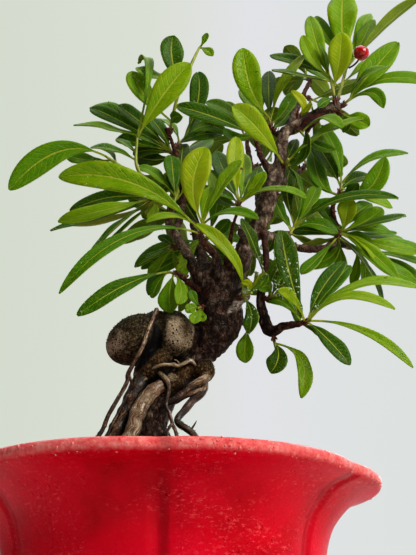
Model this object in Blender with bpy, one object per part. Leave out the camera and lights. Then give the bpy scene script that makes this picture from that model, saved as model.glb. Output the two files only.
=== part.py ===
"""A pyracantha bonsai in its red six-lobed pot.

The pieces are the pot, two mesh squares over its drain holes, the soil, the wood, the sprays and a berry.
The frame is Z up, with the origin at the middle of the pot's flat underside, and -Y is the front.
Limbs and leaves are placed as they are seen from the front: by (x, z) on the upright plane through the
pot's middle, and by a distance from that plane toward the eye, all in millimetres.
"""

import math
import random

import bmesh
import bpy
from mathutils import Matrix, Vector
from mathutils.bvhtree import BVHTree

MM = 0.001
WELD = 1e-6
SMOOTH_UP_TO = math.radians(40)

# Pot
POT_HEIGHT = 0.105
LOBES = 6
STEPS_PER_LOBE = 6
CREASE_DEPTH = 0.042
CREASE_SHARPNESS = 2.2
POT_WALL = 0.005
POT_FLOOR = 0.0070
# Radius and height of the outer wall at the middle of a lobe, from the lip down to the foot.
POT_PROFILE = (
    (0.0970, POT_HEIGHT),
    (0.0994, 0.1036),
    (0.0994, 0.1008),
    (0.0915, 0.0968),
    (0.0857, 0.0937),
    (0.0800, 0.0875),
    (0.0762, 0.0810),
    (0.0735, 0.0700),
    (0.0716, 0.0480),
    (0.0680, 0.0260),
    (0.0610, 0.0070),
    (0.0600, 0.0000),
)
# Heights of the rings of its inner face, and the two rings under the lip
INSIDE_HEIGHTS = (POT_FLOOR, 0.0260, 0.0620, 0.0810, 0.0875)
INSIDE_LIP = ((0.0845, 0.0945), (0.0930, 0.1015))
DRAIN_RADIUS = 0.009
DRAIN_OFFSET = 0.030
DRAIN_SIDES = 12
DRAIN_CUT = 4 * POT_FLOOR

# Drainage mesh
MESH_SIDE = 0.026
MESH_THICKNESS = 0.0010
MESH_HOLE = 0.0062
MESH_ROW = 3
# The width of the square's border bars beyond half a bar, as a share of the pitch of its openings
MESH_BORDER = 0.3
MESH_CUT = 3 * MESH_THICKNESS

# Soil
SOIL_CLEARANCE = 0.0008
SOIL_MOUND_HEIGHT = 0.1030
SOIL_MOUND_RADIUS = 0.052
PEG_TOP = 0.1085
PEG_BOTTOM = 0.0950
PEG_SIDES = 8
HOLE_DEPTH = 0.030
GAP = 0.0003

# Leaves
BLADE_THICKNESS = 0.0006
PETIOLE_HALF_WIDTH = 0.0005
PETIOLE_PART = 0.12
# The blade's outline: the power that sets its widest place, and the one that rounds its tip
WIDEST = 1.65
FULLNESS = 0.56
FOLD = math.radians(15)
ARCH = 0.05
# How far along a blade its cross-sections are, for a short, a middling and a long leaf
STATIONS = {1: (0.68,), 2: (0.42, 0.88), 3: (0.4, 0.66, 0.9)}
SHORT_LEAF = 0.018
LONG_LEAF = 0.045
STALK_TRIANGLES = 10
CLEARANCE = 0.0005
# How far a leaf is bent nearer or farther to clear its neighbours, in millimetres
SHIFTS = (0, 3, -3, 6, -6, 9, -9, 12, -12, 16, -16, 20, -20, 25, -25, 30, -30)
GOLDEN_ANGLE = math.radians(137.5)
TURN_PER_SHIFT = 0.03
LOWEST_SPREAD = 78
HIGHEST_SPREAD = 28
DROOP = 0.12
# How far up its shoot the first leaf of a spray behind grows
FIRST_LEAF = 0.3

# The eye of the front view
EYE = Vector((0.0199, -0.533, 0.004))


def seen(x, z, near=0.0):
    """The point that is seen at (x, z) on the middle plane, and lies this much nearer to the eye."""
    flat = Vector((x * MM, 0, z * MM))
    return EYE + (flat - EYE) * (1 + near * MM / EYE.y)


# Roots, from the knob and the trunk's foot to the soil: (x, z, near, radius), then the peg's (x, y, radius)
ROOTS = {
    "thin_front": (
        [(-5, 190.3, 9, 1.2), (-8.4, 181, 13, 1.2), (-11.7, 171, 15, 1.2), (-16.1, 162, 14, 1.2),
         (-18.6, 156.5, 12, 1.2), (-19.5, 151.5, 10.5, 1.2), (-26.9, 137.5, 9, 1.2), (-31.1, 127.5, 8, 1.1)],
        (-42, -12, 1.4),
    ),
    "thick_left": (
        [(-9.5, 160, 3, 4.0), (-14.5, 149, 4, 4.0), (-18, 141, 4, 4.0), (-24, 127, 4, 4.0)],
        (-33, -3, 3.4),
    ),
    "thick_front": (
        [(-1.5, 151.5, 6.5, 3.3), (-5.8, 149, 8, 3.4), (-10.4, 143.6, 9, 3.6), (-14, 136, 10, 3.6),
         (-16, 128, 11, 3.5)],
        (-22, -18, 3.2),
    ),
    "thin_middle": (
        [(-4, 158, 6, 1.1), (-0.5, 154.6, 10, 1.2), (1.4, 150.5, 10, 1.1), (0.2, 142, 10, 1.0),
         (2.6, 134, 10, 1.0), (5, 127.5, 10, 1.0)],
        (9, -20, 1.2),
    ),
    "pale_bow": (
        [(-6.5, 157.5, 6, 1.0), (-2.5, 160.7, 10, 1.0), (5.6, 161, 9, 1.0), (11.3, 163.3, 7.5, 1.0),
         (14.2, 160.5, 4, 1.0)],
        None,
    ),
    "pale_upper": (
        [(20, 158, 3, 2.2), (18, 154, 5, 2.0), (12, 150, 6, 2.0), (5, 146, 6, 1.8), (-4, 141, 5, 1.8)],
        None,
    ),
    "pale_lower": (
        [(15, 158, 2, 2.0), (17.5, 151, 3, 2.0), (12, 145, 4, 2.0), (7, 139, 5, 1.9), (4, 133, 6, 1.7),
         (9, 130, 8, 1.6), (14, 126, 9, 1.6)],
        (20, -14, 1.8),
    ),
    "back_right": (
        [(4, 149, -4, 3.0), (0, 138, -13, 2.8), (-1, 126, -23, 2.6)],
        (15, 29, 2.8),
    ),
    "back_left": (
        [(-3, 147, -2, 3.4), (-11, 140, -10, 3.2), (-20, 124, -18, 3.0)],
        (-27, 25, 2.8),
    ),
    "back_middle": (
        [(-2, 144, -4, 2.8), (-6, 134, -15, 2.6), (-8, 122, -24, 2.4)],
        (-8, 34, 2.4),
    ),
}
FOOT_PEG = (-5, 3, 11)
FOOT_TOP = 0.122

# The trunk and its limbs, each from its lower end up: (x, z, near, radius)
LIMBS = {
    "trunk": [(-6, 118, 0, 11.5), (-8.5, 131, 0, 8.8), (-4.5, 143, 0, 7.5), (5, 154, 0, 6.2),
              (15.5, 164, 0, 5.2), (20.5, 171.5, 0, 7.2), (25, 181, 0, 10.6), (25, 192, 0, 11),
              (22, 203, 0, 8.5), (20, 210, 0, 5)],
    "broken_stub": [(24, 188, 4, 5), (31, 193, 7, 4.2), (39, 199, 9, 3.0)],
    "left_limb": [(18, 202, 3, 4), (12, 214, 4, 2.8), (8, 222, 4, 2.4), (3, 230, 4, 2.2), (0, 237, 3, 1.9),
                  (2, 243, 3, 1.7), (-1, 249, 3, 1.5), (-6, 249, 3, 1.3)],
    "left_twig": [(-1, 249, 3, 1.4), (-11, 256, 9, 1.2), (-19.4, 263.4, 10, 1.1)],
    "front_limb": [(25, 203, 6, 3.4), (24, 217, 10, 2.0), (20, 222, 14, 1.7), (16.5, 226.5, 18, 1.4)],
    "right_limb": [(23, 196, 0, 8), (30, 206, 0, 6.5), (36, 215, 1, 5.2), (40, 226, 2, 4.4),
                   (46, 236, 2, 4.3), (50, 246, 2, 4.3), (53, 257, 2, 4.0), (57, 269, 2, 3.4),
                   (57.5, 278, 2, 3.1), (60, 287, 2, 3.0), (66, 291, 2, 2.9), (75, 297, 2, 2.8),
                   (84, 301.5, 2, 3.0), (89, 302.5, 2, 3.0)],
    "middle_twig": [(53, 262, 2, 2.6), (50, 268, 1, 1.9), (47, 274, -1, 1.6), (45.2, 281.5, -4, 1.3)],
    "top_twig": [(59, 285, 1, 2.2), (55, 286.5, 0, 1.5), (53, 289.3, -1, 1.2)],
    "drop_branch": [(45, 237, 3, 2.4), (48, 228, 4, 1.7), (49, 214, 4, 1.6), (47, 204, 4, 1.7),
                    (45.8, 192, 4, 2.4), (48, 182, 4, 3.0), (51, 178.5, 4, 2.8), (57, 181, 8, 1.9),
                    (65.5, 182.5, 12, 1.6)],
    "low_left_twig": [(17, 198, 5, 1.8), (10, 204, 7, 1.3), (6, 207.3, 8, 1.1)],
    "bud_twig": [(29, 214, 5, 1.7), (31, 226, 9, 1.2), (33, 236, 13, 1.0), (35.3, 243.5, 16, 1.0)],
    "far_right_branch": [(43, 231, 0, 3.2), (55, 227, -6, 2.2), (66, 222, -11, 1.9), (78, 222, -14, 2.0),
                         (84, 225, -14, 2.2), (91, 223, -20, 1.8), (92.6, 222.3, -24, 1.3)],
    "far_right_riser": [(84, 225, -14, 1.6), (85, 233, -14, 1.3), (83, 244, -15, 1.2),
                        (86.5, 251, -15, 1.1)],
    "upper_left_branch": [(3, 229, 3, 2.0), (7, 245, -6, 1.7), (6, 262, -10, 1.4), (2, 279, -10, 1.2),
                          (-2.2, 290, -8, 1.1)],
    "back_low": [(28, 196, -3, 4.2), (34, 206, -18, 2.8), (38, 218, -34, 2.0), (36, 232, -50, 1.5)],
    "back_left": [(21, 203, -3, 3.6), (16, 220, -20, 2.4), (12, 240, -36, 1.8), (14, 258, -50, 1.4)],
    "back_middle": [(47, 239, -2, 3.2), (46, 253, -18, 2.3), (42, 268, -36, 1.7), (40, 282, -48, 1.3)],
    "back_right": [(52, 254, -2, 3.0), (59, 259, -18, 2.2), (65, 263, -36, 1.7), (70, 268, -52, 1.3)],
    "back_top": [(62, 290, -1, 2.4), (66, 300, -14, 1.8), (70, 309, -28, 1.4), (74, 318, -38, 1.2)],
}
TRUNK_SIDES = 10
LIMB_SIDES = 6
TWIG_SIDES = 4
TRUNK_RADIUS = 9.0
LIMB_RADIUS = 1.9

# Swellings of the wood: (x, z, near), semi-axes (across, deep, tall), lean in degrees, fineness
KNOBS = {
    "knob_left": ((-14.8, 174.4, 3), (15.5, 12, 11.6), -30, 2),
    "knob_right": ((1.9, 175.6, 1), (10.9, 11.5, 13.2), 8, 2),
    "knob_bridge": ((-5.5, 181.3, 0), (11, 9, 6.8), -12, 1),
    "knob_neck": ((-5.5, 162.5, 2), (13.5, 8, 7), -48, 1),
    "grey_bulge": ((3.2, 152.5, 4), (6.5, 5, 5), -15, 1),
    "waist": ((17.2, 158.4, 1), (5.2, 4.8, 5.6), 0, 1),
    "shoulder": ((13.4, 173.8, -1), (6.4, 6, 9.5), -15, 1),
    "fork": ((21, 205, 1), (9, 7, 10), 0, 1),
}

# Sprays that the front shows. Shoot: (x, z, near) from its foot to its tip.
# Leaves: foot x, z; middle x, z; tip x, z; width; turn in degrees; how near the tip is.
# A turn of 0 shows the upper face, 90 the edge and 180 the underside.
SPRAYS = {
    "left_far": (
        [(-20, 264, 10), (-27, 269, 11), (-33, 273.5, 12)],
        [(-33, 273.5, -57.5, 276, -81.5, 254.5, 14, 12, 14), (-27, 269, -31, 276, -38, 280, 6, 60, 4)],
    ),
    "left_upright": (
        [(-12.5, 259, 10.5), (-17, 269, 13), (-17, 284, 14)],
        [(-17, 284, -5, 307, 10, 329, 15, 12, 24), (-17, 274, -22, 280, -27.5, 283.5, 6, 60, 8),
         (-16.5, 270, -28, 277, -41, 279, 7, 60, 3)],
    ),
    "left_back": (
        [(3, 271, -15), (-2, 281, -17)],
        [(-2, 281, -15, 293, -27.5, 303.5, 10, 35, -18), (-1, 279, -22, 295, -42.5, 303.5, 12, 45, -24),
         (0, 277, -24, 287.5, -50.3, 293, 8, 76, -14), (1, 275, -9, 277, -19, 275, 9, 40, -20),
         (3, 271.5, 12, 276, 22, 283, 8, 40, -22)],
    ),
    "left_inner": (
        [(2.5, 246.5, -0.5), (5, 254, -5)],
        [(5, 252, 2, 263, 1, 274, 10, 20, -6), (5, 253, -6, 262, -16, 268, 8, 50, -8),
         (4, 250, 12, 262, 16, 275, 9, 30, -12)],
    ),
    "top_left": (
        [(-1.8, 291, 8), (4, 309, 7), (11, 328, 6), (15.3, 338.5, 5)],
        [(4, 309, 1, 330, 1, 346, 13, 20, 12), (4, 311, -8, 321, -18, 327, 8, 55, 4),
         (0, 296, -13.5, 309.5, -20.5, 324.5, 12, 30, 2), (15, 337, 18, 343, 19, 347.5, 4, 40, 6),
         (14.5, 336, 19, 337, 22.5, 333.5, 5, 30, 8), (-1, 293, 2, 296, 6, 296, 7, 20, 12)],
    ),
    "top_left_back": (
        [(8, 278, -20), (11, 287, -21)],
        [(11, 287, 14.5, 305, 14.5, 323.5, 11, 15, -18), (10, 284, 18, 290, 23, 299, 8, 40, -26),
         (9, 281, 0, 292, -12, 296, 8, 60, -28)],
    ),
    "centre_front": (
        [(16.3, 228, 18), (17, 236.5, 21)],
        [(16, 231, -17, 257.5, -57, 262, 14, 12, 30), (16, 230, -19, 229.5, -54, 199, 7, 35, 34),
         (17, 236, 12.5, 257, 19, 279, 15, 6, 30), (17, 235.5, 27, 257, 37, 271, 8.5, 40, 25),
         (16.3, 232, 3, 240, -11.5, 236.5, 5, 50, 24), (17, 235, 29, 242, 45.5, 239, 6, 60, 36)],
    ),
    "left_low": (
        [(-7.2, 249, 3), (-12, 249, 1)],
        [(-11, 249, -31, 243.5, -56, 237, 9, 35, 8), (-11.5, 249, -32, 240, -60, 233, 7, 60, -8),
         (-10, 249, -24.5, 236, -39, 220, 7, 74, 12), (-9, 249, -7, 243, -11, 239, 5, 20, 6),
         (-12, 249, -24, 253, -37, 250, 8, 55, -12)],
    ),
    "left_hanging": (
        [(5, 208.2, 8), (0, 209.5, 8)],
        [(0, 209.5, -21, 202.5, -44, 186.5, 9, 28, 14), (3, 209, 1, 199, 1.5, 188, 11, 20, 3),
         (3.5, 208.7, 7, 201, 5, 192.5, 5, 30, 12), (1, 209.3, -6, 205, -9, 197, 8, 30, -5),
         (3, 209, 6, 212, 8, 217, 5, 30, 2)],
    ),
    "inner_left": (
        [(4.5, 223.3, 3), (0, 222, 0)],
        [(1, 222, -7, 219, -17, 212.5, 5, 60, 0), (2, 222.5, -4, 215, -10, 208, 6, 40, -6),
         (3, 223, 0, 226, -5, 229, 5, 30, -6), (2, 222.5, 4, 215, 10, 209, 7, 40, -8)],
    ),
    "inner_back": (
        [(17.5, 224, -21), (20, 230, -22)],
        [(19, 227, 26, 218, 31, 208, 9, 30, -20), (19, 228, 28, 229, 37, 226, 8, 50, -26),
         (20, 229, 11, 222, 7, 212, 8, 40, -28), (20, 230, 24, 243, 25, 256, 9, 25, -24)],
    ),
    "centre_upright": (
        [(35.3, 244.6, 16.5), (35.5, 249, 18)],
        [(35.5, 249, 33.8, 267, 35, 284.5, 9.5, 14, 20), (35.4, 247, 29, 251.5, 22, 253, 7, 45, 10),
         (35.4, 247.5, 43, 255, 49, 265, 7.5, 30, 24), (35.3, 246.5, 52, 255, 70, 250, 7, 74, 28)],
    ),
    "fork": (
        [(61, 268.5, 9), (61.5, 272, 11)],
        [(61, 270, 47, 288, 33, 303, 13, 15, 23), (61.5, 271.5, 78, 286, 101, 296, 9, 62, 20),
         (61.3, 270, 69, 272, 71.5, 287, 8, 60, 14)],
    ),
    "centre_back": (
        [(45.1, 282.5, -4.3), (43.5, 288, -6)],
        [(44, 286, 25, 295.5, 3, 303, 11, 32, -3), (43.5, 288, 32, 299, 19, 305.5, 9, 40, -14),
         (44, 287, 47, 299, 44, 312, 8, 40, -20)],
    ),
    "centre_top": (
        [(52.7, 290, -1), (52, 296, -1)],
        [(52, 296, 42.5, 314, 39, 338.5, 15, 8, 6), (52.3, 294, 60, 317, 72.5, 334, 9, 55, 8),
         (52.2, 295, 44, 302, 37, 313, 8, 45, -8), (52.5, 292, 60, 300, 65, 311, 8, 30, -6),
         (52, 295.5, 52, 310, 52, 324, 9, 15, -14)],
    ),
    "young_shoot": (
        [(66.5, 294.3, 3), (67.5, 298, 4)],
        [(67.2, 297, 70, 304, 64, 312, 5, 30, 8), (67.4, 297, 72, 301, 74, 305, 4, 40, 8)],
    ),
    "crown_front": (
        [(86.5, 305, 5), (86, 312, 7), (84.5, 321, 8)],
        [(86, 312, 90, 329, 92, 348, 13, 10, 18), (85, 318, 79, 338, 75, 359, 9.5, 15, 1),
         (84.7, 320, 76, 331, 71, 346, 8, 30, 6), (84.6, 320, 69, 329, 53, 334, 8, 40, 3),
         (85, 317, 69, 321.5, 54, 325, 7, 70, 14), (84.5, 321, 83, 331, 80, 341, 6, 70, 12),
         (86.3, 307, 82, 306, 78, 302, 5, 30, 10)],
    ),
    "crown_right": (
        [(91.5, 304, 3), (95.5, 308, 5)],
        [(94, 306.5, 105, 321, 122, 342, 13.5, 25, 10), (94.5, 307, 101, 319, 115, 327, 8, 68, 20),
         (95.3, 308, 116, 319.5, 140, 316, 8.5, 42, 8), (93, 305.5, 106, 311, 112, 302, 7, 40, 14)],
    ),
    "crown_back": (
        [(88, 306, 1), (92, 320, -4), (95, 332, -6)],
        [(95, 332, 92.5, 352, 94, 373, 17, 6, -8), (94.8, 331, 103, 343, 109, 356, 10, 48, -6),
         (94.5, 330, 113, 350, 135, 371, 10, 125, -2), (91.5, 317, 80, 322, 69, 332, 8, 40, -16),
         (92, 319, 104, 328, 116, 333, 8, 50, -18)],
    ),
    "limb_side": (
        [(68, 288, 6), (70, 285, 8)],
        [(69.5, 286, 80, 296, 90, 290, 7, 74, 18), (69, 287, 76, 280, 86, 277, 7, 45, 14)],
    ),
    "limb_end": (
        [(88, 299.3, 4), (91.5, 297.3, 5)],
        [(91.5, 298, 97, 295, 104, 291, 10, 20, 8), (91, 299, 92.5, 293, 90, 287.5, 6, 30, 2)],
    ),
    "right_upper": (
        [(87, 252.2, -15), (88.2, 258, -15)],
        [(88.2, 257, 86.5, 275, 79, 292, 8.5, 28, -18), (88, 256, 82, 270, 74.5, 283, 11, 20, -27),
         (88.2, 258, 103, 271.5, 123.5, 276, 7, 52, -10), (87.5, 254, 102, 255, 111, 273.5, 12, 22, -5),
         (87.3, 253, 92, 253, 97, 258, 7.5, 10, -2), (87.8, 255.5, 101, 250.5, 114, 245, 7.5, 50, -20)],
    ),
    "right_middle": (
        [(60, 228, -7.5), (64.5, 236, -13)],
        [(64.5, 236, 88, 249.5, 117, 250, 7, 50, -6), (64, 235.5, 71.5, 247, 75.5, 257, 8, 30, -20),
         (64.5, 235.8, 79, 235.5, 90, 229, 7.5, 55, -22), (64.4, 236, 67.5, 252, 62, 267, 7, 66, -8),
         (63.5, 234, 59, 238, 54.5, 240, 5, 30, -18)],
    ),
    "right_front": (
        [(84.5, 227.6, -12), (87.5, 232, -10)],
        [(87, 231, 90, 240, 91, 250, 10.5, 10, -3), (87.5, 232, 98, 236, 108.5, 244, 11, 28, -8),
         (86.5, 230.5, 99, 224, 106.5, 212, 7.5, 45, 2), (85, 228.5, 97.5, 215, 107, 193, 6.5, 74, 6),
         (85, 228.5, 74, 216, 66, 208.5, 7.5, 40, -4), (87.3, 231.5, 104, 236, 120, 240.5, 8, 64, 6),
         (87, 231, 101, 229, 115, 231, 6.5, 50, -20)],
    ),
    "right_far": (
        [(93, 222, -25), (98, 221, -29)],
        [(97, 221.2, 112, 213, 127, 203, 9.5, 30, -24), (98, 221, 114, 225, 132, 217, 7, 50, -32),
         (97.5, 221, 113, 218.5, 130, 213, 6, 55, -18), (97.8, 221, 107, 226.5, 118, 228, 6, 50, -42),
         (95, 221.7, 94, 212, 91, 202, 6.5, 30, -28), (96, 221.5, 98, 212, 97, 202, 6.5, 30, -36)],
    ),
    "lower_right": (
        [(66.8, 182.8, 12.5), (70.5, 184.5, 15)],
        [(68, 183.4, 60.5, 208, 57, 232, 12, 20, 26), (69.5, 184, 76, 200, 88, 215, 10.5, 32, 6),
         (70, 184.3, 93, 202, 127, 202, 7.5, 56, 4), (70.3, 184.4, 88, 196.5, 112, 190.5, 6.5, 48, 20),
         (67.7, 183.2, 62, 195, 54.5, 199.5, 5.5, 35, 28), (70.4, 184.5, 96, 178.5, 119, 160.5, 5.5, 40, 24),
         (69, 183.8, 77.8, 174.8, 88.5, 161.5, 9, 25, 20)],
    ),
    "lower_hanging": (
        [(52, 174, 4), (52.7, 169.8, 5)],
        [(52, 173, 54, 165.5, 50, 157.5, 10.5, 10, 9), (52.8, 172, 65, 164, 64.5, 145, 7.5, 35, 12)],
    ),
    "trunk_front": (
        [(37, 196.5, 14), (41.5, 198.5, 19)],
        [(41, 198.3, 32, 218, 14, 236, 7, 28, 28), (40.5, 198, 41.2, 187.5, 39.5, 177.5, 8, 15, 23),
         (41.5, 198.5, 46, 203, 49, 208, 4.5, 30, 20)],
    ),
    "trunk_right": (
        [(49.2, 195.5, 7), (53.5, 197, 11)],
        [(53, 196.8, 61, 195, 63.5, 182.5, 6.5, 20, 15), (53.5, 197, 50, 202, 45, 200, 6.5, 30, 18),
         (53, 197, 55, 204, 60, 209.5, 6.5, 30, 8), (52, 196.5, 51, 208, 56, 216, 5.5, 40, 4)],
    ),
    "trunk_low": (
        [(37, 183, -4), (39.5, 180, -4)],
        [(39.3, 180.3, 38, 172, 38, 162.5, 9, 10, -2)],
    ),
    "trunk_left": (
        [(17.5, 191, 9), (14.6, 190.3, 12.5)],
        [(15, 190.4, 12.5, 190.8, 9.4, 188.2, 5.5, 20, 13),
         (15.2, 190.4, 14.2, 186.5, 12.8, 182.4, 6, 15, 16),
         (15.6, 190.5, 16.6, 187, 17.4, 183.6, 5, 15, 14),
         (14.8, 190.3, 13.2, 195, 11.6, 200, 4.5, 20, 13)],
    ),
    "trunk_dark": (
        [(48.2, 207.3, 7), (50, 209.8, 11)],
        [(50, 209.3, 43.5, 222, 37, 238.5, 8, 58, 22), (50, 209, 56, 213, 61, 220, 6, 40, 12)],
    ),
}

# Sprays behind: foot (x, z, near), the way the shoot points (right, back, up), number of leaves
BACK_SPRAYS = {
    "back_low_tip": ((36, 232.8, -51.5), (0.1, 0.8, 0.6), 6),
    "back_low_side": ((40, 219, -37), (0.55, 0.62, 0.45), 5),
    "back_left_tip": ((14, 258.9, -51.5), (-0.1, 0.72, 0.68), 6),
    "back_left_side": ((9.5, 240, -38), (-0.8, 0.5, 0.2), 5),
    "back_left_inner": ((18, 222, -24), (0.2, 0.9, -0.2), 5),
    "back_middle_tip": ((39.9, 282.9, -49.5), (-0.1, 0.72, 0.68), 6),
    "back_middle_side": ((45, 268, -38), (0.6, 0.63, 0.5), 5),
    "back_right_tip": ((70.5, 268.8, -53.5), (0.1, 0.8, 0.6), 6),
    "back_right_side": ((65, 261, -38), (-0.2, 0.95, -0.1), 5),
    "back_top_tip": ((74.3, 318.8, -39.5), (-0.2, 0.6, 0.7), 5),
    "back_top_side": ((72, 308, -30), (0.68, 0.7, 0.1), 5),
    "upper_left_side": ((4, 262, -12), (-0.4, 0.8, 0.3), 5),
}
SHOOT_LENGTH = 9.0
LEAF_LENGTHS = (23, 36)
LEAF_WIDTHS = (7.5, 10.5)
SHOOT_RADIUS = 0.9
SHOOT_TIP_RADIUS = 0.6
SEAT_REACH = 0.006
STEEPEST_SEAT = 0.5

BERRY = (102, 335.5, 5)
BERRY_RADIUS = 0.0039
BERRY_SIDES = 10
BERRY_RINGS = 7
STALK = [(95.1, 325.9, -4), (97.5, 327.5, -1), (99.8, 330, 3), (101.2, 333, 5)]
STALK_RADIUS = 0.5

COLOURS = {
    "glaze": ((0.42, 0.004, 0.012), 0.12),
    "plastic": ((0.02, 0.02, 0.02), 0.6),
    "soil": ((0.06, 0.035, 0.02), 0.95),
    "bark": ((0.07, 0.045, 0.025), 0.85),
    "leaf": ((0.09, 0.2, 0.012), 0.4),
    "fruit": ((0.55, 0.004, 0.006), 0.2),
}


def empty_scene():
    for thing in list(bpy.data.objects):
        bpy.data.objects.remove(thing)


def material(name):
    """The piece's plain material: one colour, one roughness, no metal."""
    made = bpy.data.materials.new(name)
    made.use_nodes = True
    shader = made.node_tree.nodes["Principled BSDF"]
    colour, roughness = COLOURS[name]
    shader.inputs["Base Color"].default_value = (*colour, 1)
    shader.inputs["Roughness"].default_value = roughness
    shader.inputs["Metallic"].default_value = 0
    return made


def collection(name):
    made = bpy.data.collections.new(name)
    bpy.context.scene.collection.children.link(made)
    return made


def add(name, mesh, where):
    thing = bpy.data.objects.new(name, mesh)
    where.objects.link(thing)
    return thing


def mesh_of(bm, name):
    bmesh.ops.recalc_face_normals(bm, faces=bm.faces)
    mesh = bpy.data.meshes.new(name)
    bm.to_mesh(mesh)
    bm.free()
    return mesh


def baked(thing):
    """The object with its modifiers applied, or made from a curve: its evaluated mesh, its caps welded."""
    bpy.context.view_layer.update()
    mesh = bpy.data.meshes.new_from_object(thing.evaluated_get(bpy.context.evaluated_depsgraph_get()))
    bm = bmesh.new()
    bm.from_mesh(mesh)
    bmesh.ops.remove_doubles(bm, verts=bm.verts, dist=WELD)
    bm.to_mesh(mesh)
    bm.free()
    name, where, place = thing.name, thing.users_collection[0], thing.matrix_world.copy()
    bpy.data.objects.remove(thing)
    made = add(name, mesh, where)
    made.matrix_world = place
    return made


def cut(thing, cutters, operation="DIFFERENCE", solver="EXACT"):
    """Cuts the collection's objects from the piece, or joins them to it, then removes them."""
    change = thing.modifiers.new(operation.title(), "BOOLEAN")
    change.operation = operation
    change.operand_type = "COLLECTION"
    change.collection = cutters
    change.solver = solver
    made = baked(thing)
    for used in list(cutters.objects):
        bpy.data.objects.remove(used)
    return made


def tube(name, points, radii, sides, where):
    """A tapered round bar along the points, closed at both ends, as a mesh."""
    line = bpy.data.curves.new(name, "CURVE")
    line.dimensions = "3D"
    line.bevel_depth = 1.0
    line.bevel_resolution = sides // 2 - 2
    line.use_fill_caps = True
    run = line.splines.new("POLY")
    run.points.add(len(points) - 1)
    for knot, place, radius in zip(run.points, points, radii):
        knot.co = (*place, 1)
        knot.radius = radius
    thing = bpy.data.objects.new(name, line)
    where.objects.link(thing)
    return baked(thing)


def lobed(azimuth):
    """How far the wall stands out at this azimuth: 1 at a lobe's middle, less toward the creases."""
    half = math.pi / LOBES
    across = ((azimuth + math.pi / 2) % (2 * half) - half) / half
    return 1 - CREASE_DEPTH * abs(across) ** CREASE_SHARPNESS


def turned(name, profile, where):
    """A lobed solid from its profile of (radius, height), which starts and ends on the axis."""
    bm = bmesh.new()
    knots = [bm.verts.new((0, -radius, height)) for radius, height in profile]
    edges = [bm.edges.new(pair) for pair in zip(knots, knots[1:])]
    steps = LOBES * STEPS_PER_LOBE
    bmesh.ops.spin(bm, geom=knots + edges, cent=(0, 0, 0), axis=(0, 0, 1), steps=steps, angle=math.tau,
                   use_merge=True)
    bmesh.ops.remove_doubles(bm, verts=bm.verts, dist=WELD)
    for vert in bm.verts:
        grow = lobed(math.atan2(vert.co.y, vert.co.x))
        vert.co.x *= grow
        vert.co.y *= grow
    return add(name, mesh_of(bm, name), where)


def inner_radius(height):
    """The radius of the wall's inner face at this height, at the middle of a lobe."""
    for (r1, z1), (r0, z0) in zip(POT_PROFILE, POT_PROFILE[1:]):
        if z0 <= height <= z1:
            return r0 + (r1 - r0) * (height - z0) / (z1 - z0) - POT_WALL
    raise ValueError("no wall at this height")


def pot(where, cutters):
    inside = [(inner_radius(z), z) for z in INSIDE_HEIGHTS] + list(INSIDE_LIP)
    profile = [(0, 0)] + list(reversed(POT_PROFILE)) + list(reversed(inside)) + [(0, POT_FLOOR)]
    thing = turned("pot", profile, where)
    for side in (-1, 1):
        bm = bmesh.new()
        place = Matrix.Translation((side * DRAIN_OFFSET, 0, 0))
        bmesh.ops.create_cone(bm, cap_ends=True, segments=DRAIN_SIDES, radius1=DRAIN_RADIUS,
                              radius2=DRAIN_RADIUS, depth=DRAIN_CUT, matrix=place)
        add("drain_cutter", mesh_of(bm, "drain_cutter"), cutters)
    return cut(thing, cutters)


def block(name, side, height, centre, where):
    bm = bmesh.new()
    place = Matrix.Translation(centre) @ Matrix.Diagonal((side, side, height, 1))
    bmesh.ops.create_cube(bm, size=1, matrix=place)
    return add(name, mesh_of(bm, name), where)


def drainage_mesh(name, x, where, cutters):
    """A plastic mesh square lying on the pot's floor over one drain hole."""
    height = POT_FLOOR + GAP + MESH_THICKNESS / 2
    plate = block(name, MESH_SIDE, MESH_THICKNESS, (x, 0, height), where)
    pitch = MESH_SIDE / (MESH_ROW + MESH_BORDER)
    for row in range(MESH_ROW):
        for column in range(MESH_ROW):
            offset = Vector((row - (MESH_ROW - 1) / 2, column - (MESH_ROW - 1) / 2, 0)) * pitch
            block("opening", MESH_HOLE, MESH_CUT, offset + Vector((x, 0, height)), cutters)
    return cut(plate, cutters)


def pegs():
    """Where the roots stand in the soil: (x, y, radius)."""
    found = [tuple(v * MM for v in peg) for _, peg in ROOTS.values() if peg]
    return found + [tuple(v * MM for v in FOOT_PEG)]


def soil(where, cutters):
    bottom = POT_FLOOR + MESH_THICKNESS + 2 * GAP
    wall = [(inner_radius(z) - SOIL_CLEARANCE, z) for z in INSIDE_HEIGHTS]
    wall[0] = (wall[0][0], bottom)
    wall.append((INSIDE_LIP[0][0] - SOIL_CLEARANCE, INSIDE_LIP[0][1]))
    top = [(SOIL_MOUND_RADIUS, SOIL_MOUND_HEIGHT), (0, SOIL_MOUND_HEIGHT)]
    thing = turned("soil", [(0, bottom)] + wall + top, where)
    for x, y, radius in pegs():
        bm = bmesh.new()
        wide = (radius + GAP) / math.cos(math.pi / PEG_SIDES)
        bmesh.ops.create_cone(bm, cap_ends=True, segments=PEG_SIDES, radius1=wide, radius2=wide,
                              depth=HOLE_DEPTH,
                              matrix=Matrix.Translation((x, y, PEG_BOTTOM - GAP + HOLE_DEPTH / 2)))
        add("hole_cutter", mesh_of(bm, "hole_cutter"), cutters)
    return cut(thing, cutters)


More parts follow.
